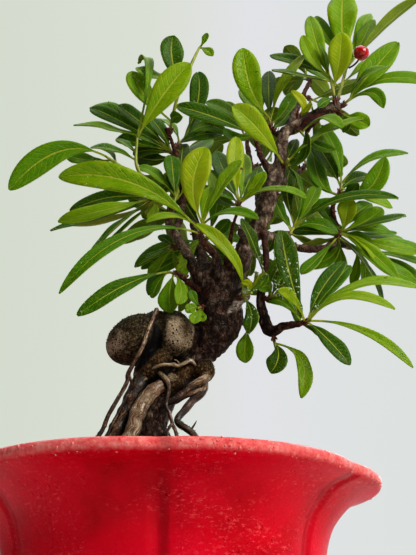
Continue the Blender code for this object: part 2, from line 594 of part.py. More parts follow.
def limb_tubes():
    """Every tube of the wood: name, points, radii, sides."""
    found = []
    for name, (places, peg) in ROOTS.items():
        points = [seen(x, z, near) for x, z, near, _ in places]
        radii = [radius * MM for *_, radius in places]
        if peg:
            x, y, radius = (v * MM for v in peg)
            points += [Vector((x, y, PEG_TOP)), Vector((x, y, PEG_BOTTOM))]
            radii += [radius, radius]
        found.append((name, points, radii, TWIG_SIDES))
    for name, places in LIMBS.items():
        points = [seen(x, z, near) for x, z, near, _ in places]
        radii = [radius * MM for *_, radius in places]
        thick = max(radii) / MM
        sides = TRUNK_SIDES if thick > TRUNK_RADIUS else LIMB_SIDES if thick > LIMB_RADIUS else TWIG_SIDES
        found.append((name, points, radii, sides))
    x, y, radius = (v * MM for v in FOOT_PEG)
    foot = [Vector((x, y, height)) for height in (FOOT_TOP, PEG_BOTTOM)]
    found.append(("foot", foot, [radius, radius], TRUNK_SIDES))
    return found


def wood(where, parts):
    """The roots, knob, trunk and limbs, which grew as one piece."""
    for name, points, radii, sides in limb_tubes():
        tube(name, points, radii, sides, where if name == "trunk" else parts)
    for name, ((x, z, near), (across, deep, tall), lean, fineness) in KNOBS.items():
        bm = bmesh.new()
        shape = Matrix.Diagonal((across * MM, deep * MM, tall * MM, 1))
        place = Matrix.Translation(seen(x, z, near)) @ Matrix.Rotation(math.radians(lean), 4, "Y")
        bmesh.ops.create_icosphere(bm, subdivisions=fineness, radius=1, matrix=place @ shape)
        add(name, mesh_of(bm, name), parts)
    return cut(bpy.data.objects["trunk"], parts, "UNION", "MANIFOLD")


class Leaf:
    """One leaf: a midrib from the root by the middle to the tip, and the way that its upper side faces."""

    def __init__(self, root, middle, tip, width, face):
        self.root = root
        self.control = 2 * middle - (root + tip) / 2
        self.tip = tip
        self.width = width
        self.face = face
        self.length = (middle - root).length + (tip - middle).length

    def midrib(self, s):
        return self.root * (1 - s) ** 2 + self.control * 2 * s * (1 - s) + self.tip * s * s

    def frame(self, s):
        """The directions across the blade and out of its upper side."""
        along = ((self.control - self.root) * (1 - s) + (self.tip - self.control) * s).normalized()
        out = (self.face - self.face.dot(along) * along).normalized()
        return along.cross(out), out

    def half_width(self, s):
        blade = max(0.0, (s - PETIOLE_PART) / (1 - PETIOLE_PART))
        return max(PETIOLE_HALF_WIDTH, self.width / 2 * math.sin(math.pi * blade ** WIDEST) ** FULLNESS)


def nearest_on(points, place):
    """The point of a shoot's line that lies nearest to this place."""
    best = None
    for a, b in zip(points, points[1:]):
        share = max(0.0, min(1.0, (place - a).dot(b - a) / (b - a).length_squared))
        found = a + (b - a) * share
        if best is None or (found - place).length < (best - place).length:
            best = found
    return best


def seen_leaf(points, entry, shift):
    """A leaf as the front shows it, its tip moved this much nearer along the sight line."""
    foot_x, foot_z, mid_x, mid_z, tip_x, tip_z, width, turn, tip_near = entry
    guess = seen(foot_x, foot_z, -points[0].y / MM)
    root = nearest_on(points, guess)
    root_near = -root.y / MM
    tip = seen(tip_x, tip_z, tip_near + shift)
    turned_by = math.radians(turn)
    length = (tip - root).length / MM
    mid_near = (root_near + tip_near + shift) / 2 + ARCH * length * math.cos(turned_by)
    middle = seen(mid_x, mid_z, mid_near)
    chord = (tip - root).normalized()
    sight = (EYE - middle).normalized()
    toward = (sight - sight.dot(chord) * chord).normalized()
    up = chord.cross(toward) * (1 if tip_x < foot_x else -1)
    face = toward * math.cos(turned_by) + up * math.sin(turned_by)
    return Leaf(root, middle, tip, width * MM, face)


def grown_leaf(points, order, count, draw, shift):
    """A leaf of a spray behind: spaced round its shoot by the golden angle, the lower ones spread wider."""
    axis = (points[-1] - points[0]).normalized()
    side = axis.orthogonal().normalized()
    round_shoot = Matrix.Rotation(GOLDEN_ANGLE * (order + draw[0]) + shift * TURN_PER_SHIFT, 3, axis)
    outward = round_shoot @ side
    share = order / (count - 1)
    spread = math.radians(LOWEST_SPREAD + (HIGHEST_SPREAD - LOWEST_SPREAD) * share)
    along = axis * math.cos(spread) + outward * math.sin(spread)
    length = (LEAF_LENGTHS[0] + (LEAF_LENGTHS[1] - LEAF_LENGTHS[0]) * draw[1]) * MM
    width = (LEAF_WIDTHS[0] + (LEAF_WIDTHS[1] - LEAF_WIDTHS[0]) * draw[2]) * MM
    root = points[0].lerp(points[-1], FIRST_LEAF + (1 - FIRST_LEAF) * share)
    face = (axis - axis.dot(along) * along).normalized()
    droop = Vector((0, 0, -DROOP * length))
    tip = root + along * length + droop
    middle = root + along * length / 2 + face * ARCH * length
    return Leaf(root, middle, tip, width, face)


def blade(leaf, margin=0.0):
    """The corners and triangles of a folded blade on its three-cornered stalk, larger by the margin."""
    across, out = leaf.frame(0)
    half = PETIOLE_HALF_WIDTH + margin
    corners = [leaf.root - across * half + out * half, leaf.root + across * half + out * half,
               leaf.root - out * half]
    stations = STATIONS[1 + (leaf.length > SHORT_LEAF) + (leaf.length > LONG_LEAF)]
    for s in stations:
        across, out = leaf.frame(s)
        half = leaf.half_width(s) + margin
        thick = BLADE_THICKNESS / 2 + margin
        middle = leaf.midrib(s)
        side = across * half * math.cos(FOLD)
        lift = out * half * math.sin(FOLD)
        row = (middle - side + lift, middle, middle + side + lift)
        corners += [place + out * thick for place in row] + [place - out * thick for place in row]
    across, out = leaf.frame(1)
    thick = BLADE_THICKNESS / 2 + margin
    corners += [leaf.tip + out * thick, leaf.tip - out * thick]
    triangles = [(0, 2, 1), (0, 1, 4), (0, 4, 3), (1, 5, 4), (0, 3, 6)]
    triangles += [(0, 6, 2), (2, 6, 7), (2, 7, 8), (1, 2, 8), (1, 8, 5)]
    for near in range(3, 3 + 6 * (len(stations) - 1), 6):
        far = near + 6
        for top, low in ((0, 3), (1, 4)):
            triangles += [(near + top, near + top + 1, far + 1), (near + low, far + 4, near + low + 1)]
        triangles += [(near, far + 1, far), (near + 2, far + 2, far + 1)]
        triangles += [(near + 3, far + 3, far + 4), (near + 5, far + 4, far + 5)]
        triangles += [(near, far, near + 3), (far, far + 3, near + 3)]
        triangles += [(near + 2, near + 5, far + 2), (far + 2, near + 5, far + 5)]
    last = 3 + 6 * (len(stations) - 1)
    top, low = last + 6, last + 7
    triangles += [(last, last + 1, top), (last + 1, last + 2, top)]
    triangles += [(last + 3, low, last + 4), (last + 4, low, last + 5)]
    triangles += [(last, top, low), (last, low, last + 3), (last + 2, low, top), (last + 2, last + 5, low)]
    return corners, triangles


def tree_of(thing):
    mesh = thing.data
    mesh.calc_loop_triangles()
    corners = [thing.matrix_world @ vert.co for vert in mesh.vertices]
    return BVHTree.FromPolygons(corners, [tuple(t.vertices) for t in mesh.loop_triangles])


def place_leaf(make, taken, beside):
    """The first trial place that clears the other pieces and the outer blades of the leaf's own spray."""
    for shift in SHIFTS:
        leaf = make(shift)
        corners, triangles = blade(leaf, CLEARANCE)
        body = BVHTree.FromPolygons(corners, triangles)
        outer = BVHTree.FromPolygons(corners, triangles[STALK_TRIANGLES:])
        clear = not any(body.overlap(other) for other in taken)
        if clear and not any(outer.overlap(other) for other in beside):
            return leaf
    return None


def seated(points, radius, trunk):
    """The shoot's points with its foot moved along its line until it stands just off the wood's surface."""
    inward = (points[0] - points[1]).normalized()
    place, normal, _, _ = trunk.ray_cast(points[1], inward, (points[0] - points[1]).length + SEAT_REACH)
    if place is None:
        place, normal, _, _ = trunk.find_nearest(points[0])
        inward = (place - points[1]).normalized()
    slope = max(STEEPEST_SEAT, -normal.dot(inward))
    off = GAP + radius * math.sqrt(1 - slope * slope) / slope
    return [place - inward * off] + points[1:]


def berry(where, parts):
    centre = seen(*BERRY)
    bm = bmesh.new()
    bmesh.ops.create_uvsphere(bm, u_segments=BERRY_SIDES, v_segments=BERRY_RINGS,
                              radius=BERRY_RADIUS, matrix=Matrix.Translation(centre))
    ball = add("berry", mesh_of(bm, "berry"), where)
    tube("stalk", [seen(*place) for place in STALK], [STALK_RADIUS * MM] * len(STALK), TWIG_SIDES, parts)
    return cut(ball, parts, "UNION")


def sprays(where, parts, taken):
    """Each green shoot with the leaves that grow from it, every leaf bent clear of the other pieces."""
    made = []
    shoots = {}
    for name, (places, entries) in SPRAYS.items():
        points = [seen(*place) for place in places]
        makers = [lambda shift, p=points, e=entry: seen_leaf(p, e, shift) for entry in entries]
        shoots[name] = (points, makers)
    for name, (foot, heading, count) in BACK_SPRAYS.items():
        start = seen(*foot)
        points = [start, start + Vector(heading).normalized() * SHOOT_LENGTH * MM]
        chance = random.Random(name)
        draws = [[chance.random() for _ in range(3)] for _ in range(count)]
        makers = [lambda shift, p=points, o=order, c=count, d=draw: grown_leaf(p, o, c, d, shift)
                  for order, draw in enumerate(draws)]
        shoots[name] = (points, makers)
    stems = {}
    for name, (points, _) in shoots.items():
        points[:] = seated(points, SHOOT_RADIUS * MM, taken[0])
        radii = [SHOOT_RADIUS * MM] * (len(points) - 1) + [SHOOT_TIP_RADIUS * MM]
        stem = tube("spray_" + name, points, radii, TWIG_SIDES, where)
        stems[name] = (stem, tree_of(stem))
    blades = []
    for name, (points, makers) in shoots.items():
        others = list(taken) + [tree for other, (_, tree) in stems.items() if other != name] + blades
        beside = []
        for make in makers:
            leaf = place_leaf(make, others, beside)
            if leaf is None:
                print("no clear place for a leaf of", name, makers.index(make))
                continue
            corners, triangles = blade(leaf)
            blades.append(BVHTree.FromPolygons(corners, triangles))
            beside.append(BVHTree.FromPolygons(corners, triangles[STALK_TRIANGLES:]))
            mesh = bpy.data.meshes.new("leaf")
            mesh.from_pydata(corners, [], triangles)
            bm = bmesh.new()
            bm.from_mesh(mesh)
            add("leaf", mesh_of(bm, "leaf"), parts)
        made.append(cut(stems[name][0], parts, "UNION", "MANIFOLD"))
    return made


def finish(thing, material_of):
    thing.data.materials.clear()
    thing.data.materials.append(material_of)
    thing.data.shade_smooth()
    thing.data.set_sharp_from_angle(angle=SMOOTH_UP_TO)


def build():
    empty_scene()
    where = collection("pyracantha_bonsai")
    cutters = collection("cutters")
    finishes = {name: material(name) for name in COLOURS}
    finish(pot(where, cutters), finishes["glaze"])
    for name, side in (("drainage_mesh_left", -1), ("drainage_mesh_right", 1)):
        finish(drainage_mesh(name, side * DRAIN_OFFSET, where, cutters), finishes["plastic"])
    finish(soil(where, cutters), finishes["soil"])
    trunk = wood(where, cutters)
    finish(trunk, finishes["bark"])
    fruit = berry(where, cutters)
    finish(fruit, finishes["fruit"])
    for spray in sprays(where, cutters, [tree_of(trunk), tree_of(fruit)]):
        finish(spray, finishes["leaf"])
    bpy.data.collections.remove(cutters)


build()
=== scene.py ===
# %% [markdown]
# # A pyracantha bonsai in its red pot
# The plant is a small firethorn: a swollen root knob, a leaning trunk, and a loose crown of long leathery
# leaves with one berry. It stands in a red glazed pot with six lobes.
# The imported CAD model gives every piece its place. The cells below dress it: each one says what a piece is
# on the real plant, how it could be made, and why it is made as it is here.

import math
import random
from functools import partial

import bmesh
import bpy
from mathutils import Matrix, Vector, noise
from mathutils.bvhtree import BVHTree
from mathutils.kdtree import KDTree


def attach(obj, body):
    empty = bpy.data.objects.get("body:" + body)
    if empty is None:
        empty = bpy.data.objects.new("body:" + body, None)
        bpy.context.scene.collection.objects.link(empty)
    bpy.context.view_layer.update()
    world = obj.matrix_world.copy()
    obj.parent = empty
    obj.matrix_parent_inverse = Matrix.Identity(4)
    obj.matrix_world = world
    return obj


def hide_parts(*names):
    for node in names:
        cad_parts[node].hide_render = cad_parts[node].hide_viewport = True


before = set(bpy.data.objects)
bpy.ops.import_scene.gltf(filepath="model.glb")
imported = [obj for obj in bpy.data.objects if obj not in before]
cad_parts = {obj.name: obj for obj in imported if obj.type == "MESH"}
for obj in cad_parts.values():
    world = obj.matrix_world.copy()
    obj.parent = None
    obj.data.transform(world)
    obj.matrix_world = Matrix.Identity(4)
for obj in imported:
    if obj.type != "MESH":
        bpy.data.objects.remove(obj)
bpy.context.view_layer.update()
MM = 0.001

# %% [markdown]
# ## Camera, light and floor
# The photograph is taken from below the rim, looking up into the crown with a long lens, so the sky behind
# the leaves is a plain pale wall. A camera 4 mm above the floor, pitched up by about 21 degrees, gives the
# same view. The light comes from large windows: a strong soft lamp stands high on the right, two wide ones hang
# above and behind, and only a weak one lights the left, so the pot's left side stays deep red. The world is
# bright behind the plant and dim in front of it, because a glaze mirrors what is before it. The camera sees
# its own even background, which no lamp changes.

# %% Camera
def placed(name, data):
    """A new object in the scene."""
    made = bpy.data.objects.new(name, data)
    bpy.context.scene.collection.objects.link(made)
    return made


EYE = Vector((0.0199, -0.533, 0.004))
PITCH = math.radians(90 + 20.8)
lens = bpy.data.cameras.new("camera")
lens.lens = 74.6
camera = placed("camera", lens)
camera.location = EYE
camera.rotation_euler = (PITCH, 0, 0)
bpy.context.scene.camera = camera
view = bpy.context.scene.view_settings
view.view_transform = "Standard"
view.look = "Medium High Contrast"
print("camera at", tuple(round(v, 3) for v in EYE), "with a", lens.lens, "mm lens")

# %% [markdown]
# ## Finishes made of nodes
# Every finish below is worked out from noise and cells, because no picture is used. The helpers let a finish
# be read as arithmetic: each takes values or sockets, adds a node beside them and gives back its result.

# %% A node, and arithmetic on what nodes give
def put(tree, kind, settings=None, **inputs):
    """A new node. An input named _0 is the first socket; a socket given as a value is linked, a number is set."""
    made = tree.nodes.new("ShaderNode" + kind)
    for key, value in (settings or {}).items():
        setattr(made, key, value)
    for key, value in inputs.items():
        socket = made.inputs[int(key[1:])] if key[0] == "_" else made.inputs[key.replace("_", " ")]
        if isinstance(value, bpy.types.NodeSocket):
            tree.links.new(value, socket)
        else:
            socket.default_value = value
    return made


def home(*values):
    """The node tree of the first socket among the values."""
    return next(value.id_data for value in values if isinstance(value, bpy.types.NodeSocket))


def maths(operation, *values):
    """The result of a Math node."""
    inputs = {f"_{index}": value for index, value in enumerate(values)}
    return put(home(*values), "Math", {"operation": operation}, **inputs).outputs[0]


def times(*values):
    return maths("MULTIPLY", *values)


def plus(*values):
    return maths("ADD", *values)


def minus(*values):
    return maths("SUBTRACT", *values)


def attribute(tree, name):
    """The number that the mesh keeps on its points under this name."""
    return put(tree, "Attribute", {"attribute_name": name}).outputs["Fac"]


def axis_of(vector, axis):
    return put(home(vector), "SeparateXYZ", _0=vector).outputs[axis]


def stretched(place, scale, **turn):
    """The coordinates scaled along each axis, so that a pattern on them is drawn out or squeezed."""
    return put(home(place), "Mapping", Vector=place, Scale=scale, **turn).outputs[0]


def between(value, low, high, from_zero=0.0, to_one=1.0):
    """The value spread from low..high to 0..1, smoothly and without going past."""
    made = put(home(value), "MapRange", {"interpolation_type": "SMOOTHSTEP"}, Value=value)
    for key, number in zip(("From Min", "From Max", "To Min", "To Max"), (low, high, from_zero, to_one)):
        made.inputs[key].default_value = number
    return made.outputs[0]


print("arithmetic ready for:", ", ".join(helper.__name__ for helper in (times, plus, minus, between)))

# %% Colours
def linear(*screen):
    """A colour as it shows on a screen, 0 to 255, in the linear light that nodes use."""
    return (*(v / 255 / 12.92 if v < 11 else ((v / 255 + 0.055) / 1.055) ** 2.4 for v in screen), 1)


def ramp(value, *stops):
    """A colour ramp: pairs of a place from 0 to 1 and a colour."""
    made = put(home(value), "ValToRGB", Fac=value)
    colours = made.color_ramp.elements
    while len(colours) < len(stops):
        colours.new(0.5)
    for stop, (place, colour) in zip(colours, stops):
        stop.position = place
        stop.color = linear(*colour)
    return made.outputs[0]


def blend(share, first, second):
    """Two colours mixed by a share, which is a number or a socket."""
    colours = [linear(*c) if isinstance(c, tuple) and len(c) == 3 else c for c in (first, second)]
    settings = {"data_type": "RGBA", "blend_type": "MIX", "clamp_factor": True}
    return put(home(share, *colours), "Mix", settings, _0=share, _6=colours[0], _7=colours[1]).outputs[2]


print("the middle grey of a screen is", round(linear(128, 128, 128)[0], 3), "in linear light")

# %% Patterns and relief
def grain(place, scale, detail=4.0, roughness=0.5, distortion=0.0):
    """Smooth noise from 0 to 1 on coordinates in metres."""
    return put(home(place), "TexNoise", Vector=place, Scale=scale, Detail=detail, Roughness=roughness,
               Distortion=distortion).outputs["Fac"]


def cells(place, scale):
    """A pattern of cells: the distance from the middle of each, and a random number for each."""
    made = put(home(place), "TexVoronoi", Vector=place, Scale=scale)
    number = put(home(place), "SeparateColor", _0=made.outputs["Color"]).outputs[0]
    return made.outputs["Distance"], number


def beads_on(place, scale, largest, rise):
    """Round domes of random size, one in each cell: 1 at a dome's top, fading to 0 by this rise in distance."""
    distance, size = cells(place, scale)
    return between(minus(times(size, largest), distance), 0.0, rise)


def bump(height, distance, strength=1.0, normal=None):
    """A normal turned by this height, as if the surface rose by the distance where the height is 1."""
    inputs = {"Height": height, "Distance": distance, "Strength": strength}
    if normal is not None:
        inputs["Normal"] = normal
    return put(home(height), "Bump", **inputs).outputs[0]


print("patterns ready for:", ", ".join(helper.__name__ for helper in (grain, cells, beads_on, bump)))

# %% A finish
def new_finish(name, **values):
    """A material: its tree, its Principled shader with these fixed values, and object coordinates."""
    made = bpy.data.materials.new(name)
    made.use_nodes = True
    tree = made.node_tree
    shader = tree.nodes["Principled BSDF"]
    for key, value in values.items():
        shader.inputs[key.replace("_", " ")].default_value = value
    return made, tree, shader, put(tree, "TexCoord").outputs["Object"]


def link(shader, **sockets):
    """Links each value to the shader's socket of that name."""
    for name, value in sockets.items():
        shader.id_data.links.new(value, shader.inputs[name.replace("_", " ")])


print("finishes so far:", len(bpy.data.materials))

# %% Lamps that face the crown: place, size, watts, tint
CROWN = Vector((0.03, 0, 0.22))
LAMPS = {
    "window_right": ((0.75, -0.75, 0.75), (0.7, 0.7), 11.5, (1, 0.98, 0.94)),
    "window_left": ((-0.9, -0.35, 0.55), (0.5, 0.8), 0.5, (0.95, 0.98, 1)),
    "ceiling": ((0.1, 0.1, 1.2), (1.2, 1.2), 7, (1, 1, 1)),
    "behind": ((0.2, 1.0, 0.6), (1.2, 0.8), 5, (1, 1, 1)),
}
for name, (place, size, watts, tint) in LAMPS.items():
    lamp = bpy.data.lights.new(name, "AREA")
    lamp.shape = "RECTANGLE"
    lamp.size, lamp.size_y = size
    lamp.energy = watts
    lamp.color = tint
    holder = placed(name, lamp)
    holder.location = place
    holder.rotation_euler = (CROWN - Vector(place)).to_track_quat("-Z", "Y").to_euler()
print("lamps:", len(LAMPS), "with", sum(watts for _, _, watts, _ in LAMPS.values()), "watts")

# %% World
world = bpy.data.worlds.new("pale_room")
bpy.context.scene.world = world
world.use_nodes = True
sky = world.node_tree
direction = put(sky, "TexCoord").outputs["Generated"]
across, away, _ = put(sky, "SeparateXYZ", _0=direction).outputs
wall = ramp(between(across, -0.35, 0.45), (0.12, (199, 205, 194)), (0.32, (204, 208, 198)),
            (0.47, (210, 211, 214)), (0.73, (206, 210, 208)))
room = ramp(between(across, -0.7, 0.7), (0, (84, 88, 92)), (1, (240, 243, 247)))
bright = between(away, -0.35, 0.6, 0.12, 0.75)
seen_by_camera = put(sky, "LightPath").outputs["Is Camera Ray"]
room_light = put(sky, "Background", Color=room, Strength=bright).outputs[0]
backdrop = put(sky, "Background", Color=wall, Strength=1.0).outputs[0]
both = put(sky, "MixShader", _0=seen_by_camera, _1=room_light, _2=backdrop).outputs[0]
sky.links.new(both, sky.nodes["World Output"].inputs[0])
print("world nodes:", len(sky.nodes))

# %% Floor
FLOOR_HALF = 3


def mesh_of(name, bm):
    """The bmesh as a new mesh. The bmesh is freed."""
    mesh = bpy.data.meshes.new(name)
    bm.to_mesh(mesh)
    bm.free()
    return mesh


bm = bmesh.new()
bmesh.ops.create_grid(bm, x_segments=1, y_segments=1, size=FLOOR_HALF)
floor = placed("floor", mesh_of("floor", bm))
paper, tree, shader, place = new_finish("floor_paper", Roughness=0.9)
link(shader, Base_Color=blend(grain(place, 40), (200, 201, 198), (206, 206, 204)))
floor.data.materials.append(paper)
# Past the lamps' reach the camera sees the paper as pale as it is near the pot; no other ray does.
far = put(tree, "VectorMath", {"operation": "LENGTH"}, _0=place).outputs["Value"]
to_camera = put(tree, "LightPath").outputs["Is Camera Ray"]
link(shader, Emission_Strength=times(to_camera, between(far, 0.3, 2.8, 0.0, 0.5)))
shader.inputs["Emission Color"].default_value = linear(228, 230, 226)
print("floor:", 2 * FLOOR_HALF, "m wide")

# %% [markdown]
# ## The pot
# A glazed pot is thrown or cast round, and its six lobes are pressed in at even creases from the foot to the
# lip. It could be lofted between rings, but a spin shows how it is made: one profile turned round the axis,
# then every point drawn in towards the creases. Each point also keeps how near it is to a crease, because
# the glaze pools there and fires darker.

# %% Smooth lines through given points, and profiles turned round the axis
SAME_POINT = 1e-6


def smooth_line(points, step):
    """A curve through the points, by Catmull and Rom's rule. The points may carry a radius as a last number."""
    found = []
    ends = [points[0] * 2 - points[1]] + list(points) + [points[-1] * 2 - points[-2]]
    for before, a, b, after in zip(ends, ends[1:], ends[2:], ends[3:]):
        count = max(1, round((b - a).length / step))
        for index in range(count):
            t = index / count
            found.append(0.5 * (2 * a + (b - before) * t + (2 * before - 5 * a + 4 * b - after) * t ** 2
                                + (3 * a - before - 3 * b + after) * t ** 3))
    return found + [points[-1]]


def turned(profile, start, steps):
    """A bmesh of a profile of (radius, height) turned round the axis, from this starting direction."""
    bm = bmesh.new()
    knots = [bm.verts.new((*(start * radius), height)) for radius, height in profile]
    edges = [bm.edges.new(pair) for pair in zip(knots, knots[1:])]
    bmesh.ops.spin(bm, geom=knots + edges, cent=(0, 0, 0), axis=(0, 0, 1), steps=steps, angle=math.tau,
                   use_merge=True)
    bmesh.ops.remove_doubles(bm, verts=bm.verts, dist=SAME_POINT)
    bmesh.ops.recalc_face_normals(bm, faces=bm.faces)
    return bm


bend = smooth_line([Vector((0, 0)), Vector((1, 0)), Vector((1, 1))], 0.25)
print("a bend through 3 points becomes a line of", len(bend), "points")


# %% Pot body
LOBES = 6
CREASE_DEPTH = 0.042
CREASE_SHARPNESS = 2.2
STEPS_PER_LOBE = 28
PROFILE_STEP = 0.0016
# The wall's slight unevenness, above the foot that it stands on
WOBBLE = 0.00025
WOBBLES_PER_METRE = 28
FLAT_FOOT = 0.004
OUTSIDE = ((0.0000, 0.0000), (0.0590, 0.0000), (0.0612, 0.0020), (0.0616, 0.0070), (0.0680, 0.0260),
           (0.0716, 0.0480), (0.0735, 0.0700), (0.0762, 0.0810), (0.0800, 0.0875), (0.0857, 0.0937),
           (0.0915, 0.0970), (0.0962, 0.0985), (0.0990, 0.1000), (0.0997, 0.1018), (0.0994, 0.1036),
           (0.0975, 0.1049))
INSIDE = ((0.0950, 0.1046), (0.0925, 0.1015), (0.0845, 0.0945), (0.0752, 0.0875), (0.0712, 0.0810),
          (0.0678, 0.0620), (0.0630, 0.0260), (0.0560, 0.0082), (0.0540, 0.0070), (0.0000, 0.0070))
DRAIN_RADIUS = 0.009
DRAIN_OFFSET = 0.030


def crease_at(azimuth):
    """0 at the middle of a lobe and 1 in a crease."""
    half = math.pi / LOBES
    return abs(((azimuth + math.pi / 2) % (2 * half) - half) / half)


def lobed_spin(profile, steps_per_lobe):
    """A bmesh of the profile turned round the axis and drawn in at the creases, with a crease attribute."""
    bm = turned(profile, Vector((0, -1)), LOBES * steps_per_lobe)
    crease = bm.verts.layers.float.new("crease")
    for vert in bm.verts:
        near = crease_at(math.atan2(vert.co.y, vert.co.x))
        grow = 1 - CREASE_DEPTH * near ** CREASE_SHARPNESS
        vert.co.x *= grow
        vert.co.y *= grow
        vert[crease] = near
    return bm


line = smooth_line([Vector(place) for place in OUTSIDE + INSIDE], PROFILE_STEP)
bm = lobed_spin([(max(0.0, place.x), place.y) for place in line], STEPS_PER_LOBE)
for vert in bm.verts:
    if vert.co.z > FLAT_FOOT:
        swell = noise.noise(vert.co * WOBBLES_PER_METRE) * WOBBLE
        vert.co += vert.co.xy.to_3d().normalized() * swell
print("pot:", len(bm.faces), "faces")

# %% [markdown]
# ### Red glaze
# The glaze is a thick glossy red glass over pale clay. It runs thin on the lip, which fires coral pink, and
# pools in the creases. The pot has just been misted, so fine beads of water cover it. Beads could be
# thousands of little domes, but at this size a bump pattern of round cells does the same at no cost, and
# only the large beads on the lip are modelled. Flecks of paler red are painted highlights where the beads catch
# light.

# %% Glaze material
glaze, tree, shader, place = new_finish("red_glaze", Specular_IOR_Level=0.05, Coat_Weight=0.13,
                                        Coat_Roughness=0.05, Coat_IOR=1.5)
height = axis_of(place, "Z")
crease = attribute(tree, "crease")
cloud = grain(place, 26, 5, 0.6)
fine = grain(place, 420, 3)
body = ramp(cloud, (0.3, (190, 0, 22)), (0.5, (220, 0, 36)), (0.72, (234, 10, 48)))
pooled = blend(times(between(crease, 0.8, 1.0), 0.2), body, (128, 0, 14))
thin = between(plus(height, times(fine, 0.0012)), 0.0996, 0.1014)
pink = ramp(grain(place, 300, 5, 0.7), (0.34, (234, 84, 82)), (0.5, (246, 120, 116)),
            (0.66, (253, 166, 156)))
colour = blend(times(thin, 0.85), pooled, pink)
wet = between(grain(place, 34, 4, 0.65), 0.42, 0.6)
flat = stretched(place, (1, 1, 1.9))
# Painted highlight: flecks of paler red, more of them where the glaze is wet, stand for light on the water beads
painted_bead_glint = between(grain(flat, 460, 4, 0.75), 0.53, 0.68)
painted_bead_glint = times(painted_bead_glint, plus(0.1, times(wet, 0.6)))
colour = blend(painted_bead_glint, colour, (246, 100, 104))
link(shader, Base_Color=colour)
beads = times(beads_on(place, 520, 0.42, 0.26), wet)
mist = between(cells(place, 1500)[0], 0.42, 0.1)
mist = times(mist, between(grain(place, 60, 3), 0.45, 0.6))
relief = plus(beads, times(mist, 0.4))
lumps = times(grain(place, 520, 5, 0.7), plus(0.6, times(thin, 0.9)))
groove = bump(times(between(crease, 0.86, 1.0), -1.0), 0.0016)
shape = bump(plus(relief, lumps), 0.0005, 0.9, groove)
orange_peel = bump(grain(place, 160, 3), 0.0002, 0.35, shape)
link(shader, Normal=orange_peel, Coat_Normal=orange_peel)
gloss = plus(0.2, times(cloud, 0.22))
link(shader, Roughness=gloss)
print("glaze nodes:", len(tree.nodes))

# %% Finish the pot, with its drain holes
DRILL_DEPTH = 0.03
SHARP_EDGE = math.radians(50)


def finished(name, bm, materials, replaced=()):
    """The bmesh as a smooth-shaded object that rides on the CAD body and stands for these CAD nodes."""
    piece = placed(name, mesh_of(name, bm))
    for finish in materials:
        piece.data.materials.append(finish)
    piece.data.shade_smooth()
    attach(piece, "root")
    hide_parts(*replaced)
    return piece


def applied(piece):
    """Bakes the piece's modifiers into its mesh."""
    bpy.context.view_layer.update()
    evaluated = piece.evaluated_get(bpy.context.evaluated_depsgraph_get())
    mesh = bpy.data.meshes.new_from_object(evaluated, preserve_all_data_layers=True,
                                           depsgraph=bpy.context.evaluated_depsgraph_get())
    piece.modifiers.clear()
    piece.data = mesh


pot_piece = finished("glazed_pot", bm, [glaze], ["pot"])
bm = bmesh.new()
for side in (-1, 1):
    bmesh.ops.create_cone(bm, cap_ends=True, segments=48, radius1=DRAIN_RADIUS, radius2=DRAIN_RADIUS,
                          depth=DRILL_DEPTH, matrix=Matrix.Translation((side * DRAIN_OFFSET, 0, 0)))
drill = placed("drill", mesh_of("drill", bm))
holes = pot_piece.modifiers.new("drain_holes", "BOOLEAN")
holes.operation = "DIFFERENCE"
holes.object = drill
holes.solver = "EXACT"
applied(pot_piece)
bpy.data.objects.remove(drill)
pot_piece.data.set_sharp_from_angle(angle=SHARP_EDGE)
print("pot cut:", len(pot_piece.data.polygons), "faces")

# %% [markdown]
# ### Water on the lip
# The largest beads of water sit on the lip and just under it. Each is a small ball, squashed a little and sunk
# halfway into the glaze. One ball is modelled and copied, by the helper that also lays the soil's grains, the
# buds, the moss and the drops on the leaves.

# %% Copies of a small shape
def spun(angle):
    """A turn round the upright axis, in radians."""
    return Matrix.Rotation(angle, 4, "Z")


def leant(degrees):
    """A lean of the upright axis to the right."""
    return Matrix.Rotation(math.radians(degrees), 4, "Y")


def stood(spot, direction):
    """The place of a shape whose own upright axis points in this direction."""
    return Matrix.Translation(spot) @ direction.to_track_quat("Z", "Y").to_matrix().to_4x4()


def absorb(bm, mesh):
    """Adds the mesh to the bmesh and deletes it."""
    bm.from_mesh(mesh)
    bpy.data.meshes.remove(mesh)


def prototypes(count, shape_one):
    """Small meshes to copy: shape_one moulds a fresh bmesh of each."""
    made = []
    for index in range(count):
        bm = bmesh.new()
        shape_one(bm, index)
        made.append(mesh_of("prototype", bm))
    return made


def scatter(meshes, places):
    """A bmesh with one copy of a mesh at each place: (which mesh, matrix, tone)."""
    bm = bmesh.new()
    tone = bm.verts.layers.float.new("tone")
    for which, matrix, shade in places:
        copy = meshes[which % len(meshes)].copy()
        copy.transform(matrix)
        start = len(bm.verts)
        absorb(bm, copy)
        bm.verts.ensure_lookup_table()
        for vert in bm.verts[start:]:
            vert[tone] = shade
    for mesh in meshes:
        bpy.data.meshes.remove(mesh)
    return bm


def ball(bm, fineness, matrix=Matrix()):
    """A round ball of radius 1, changed by the matrix."""
    bmesh.ops.create_icosphere(bm, subdivisions=fineness, radius=1, matrix=matrix)


print("up leans to", [round(v, 2) for v in leant(30) @ Vector((0, 0, 1))], "by 30 degrees")

# %% Water beads on the lip
BEADS = 700
BEAD_RADIUS = 0.00062
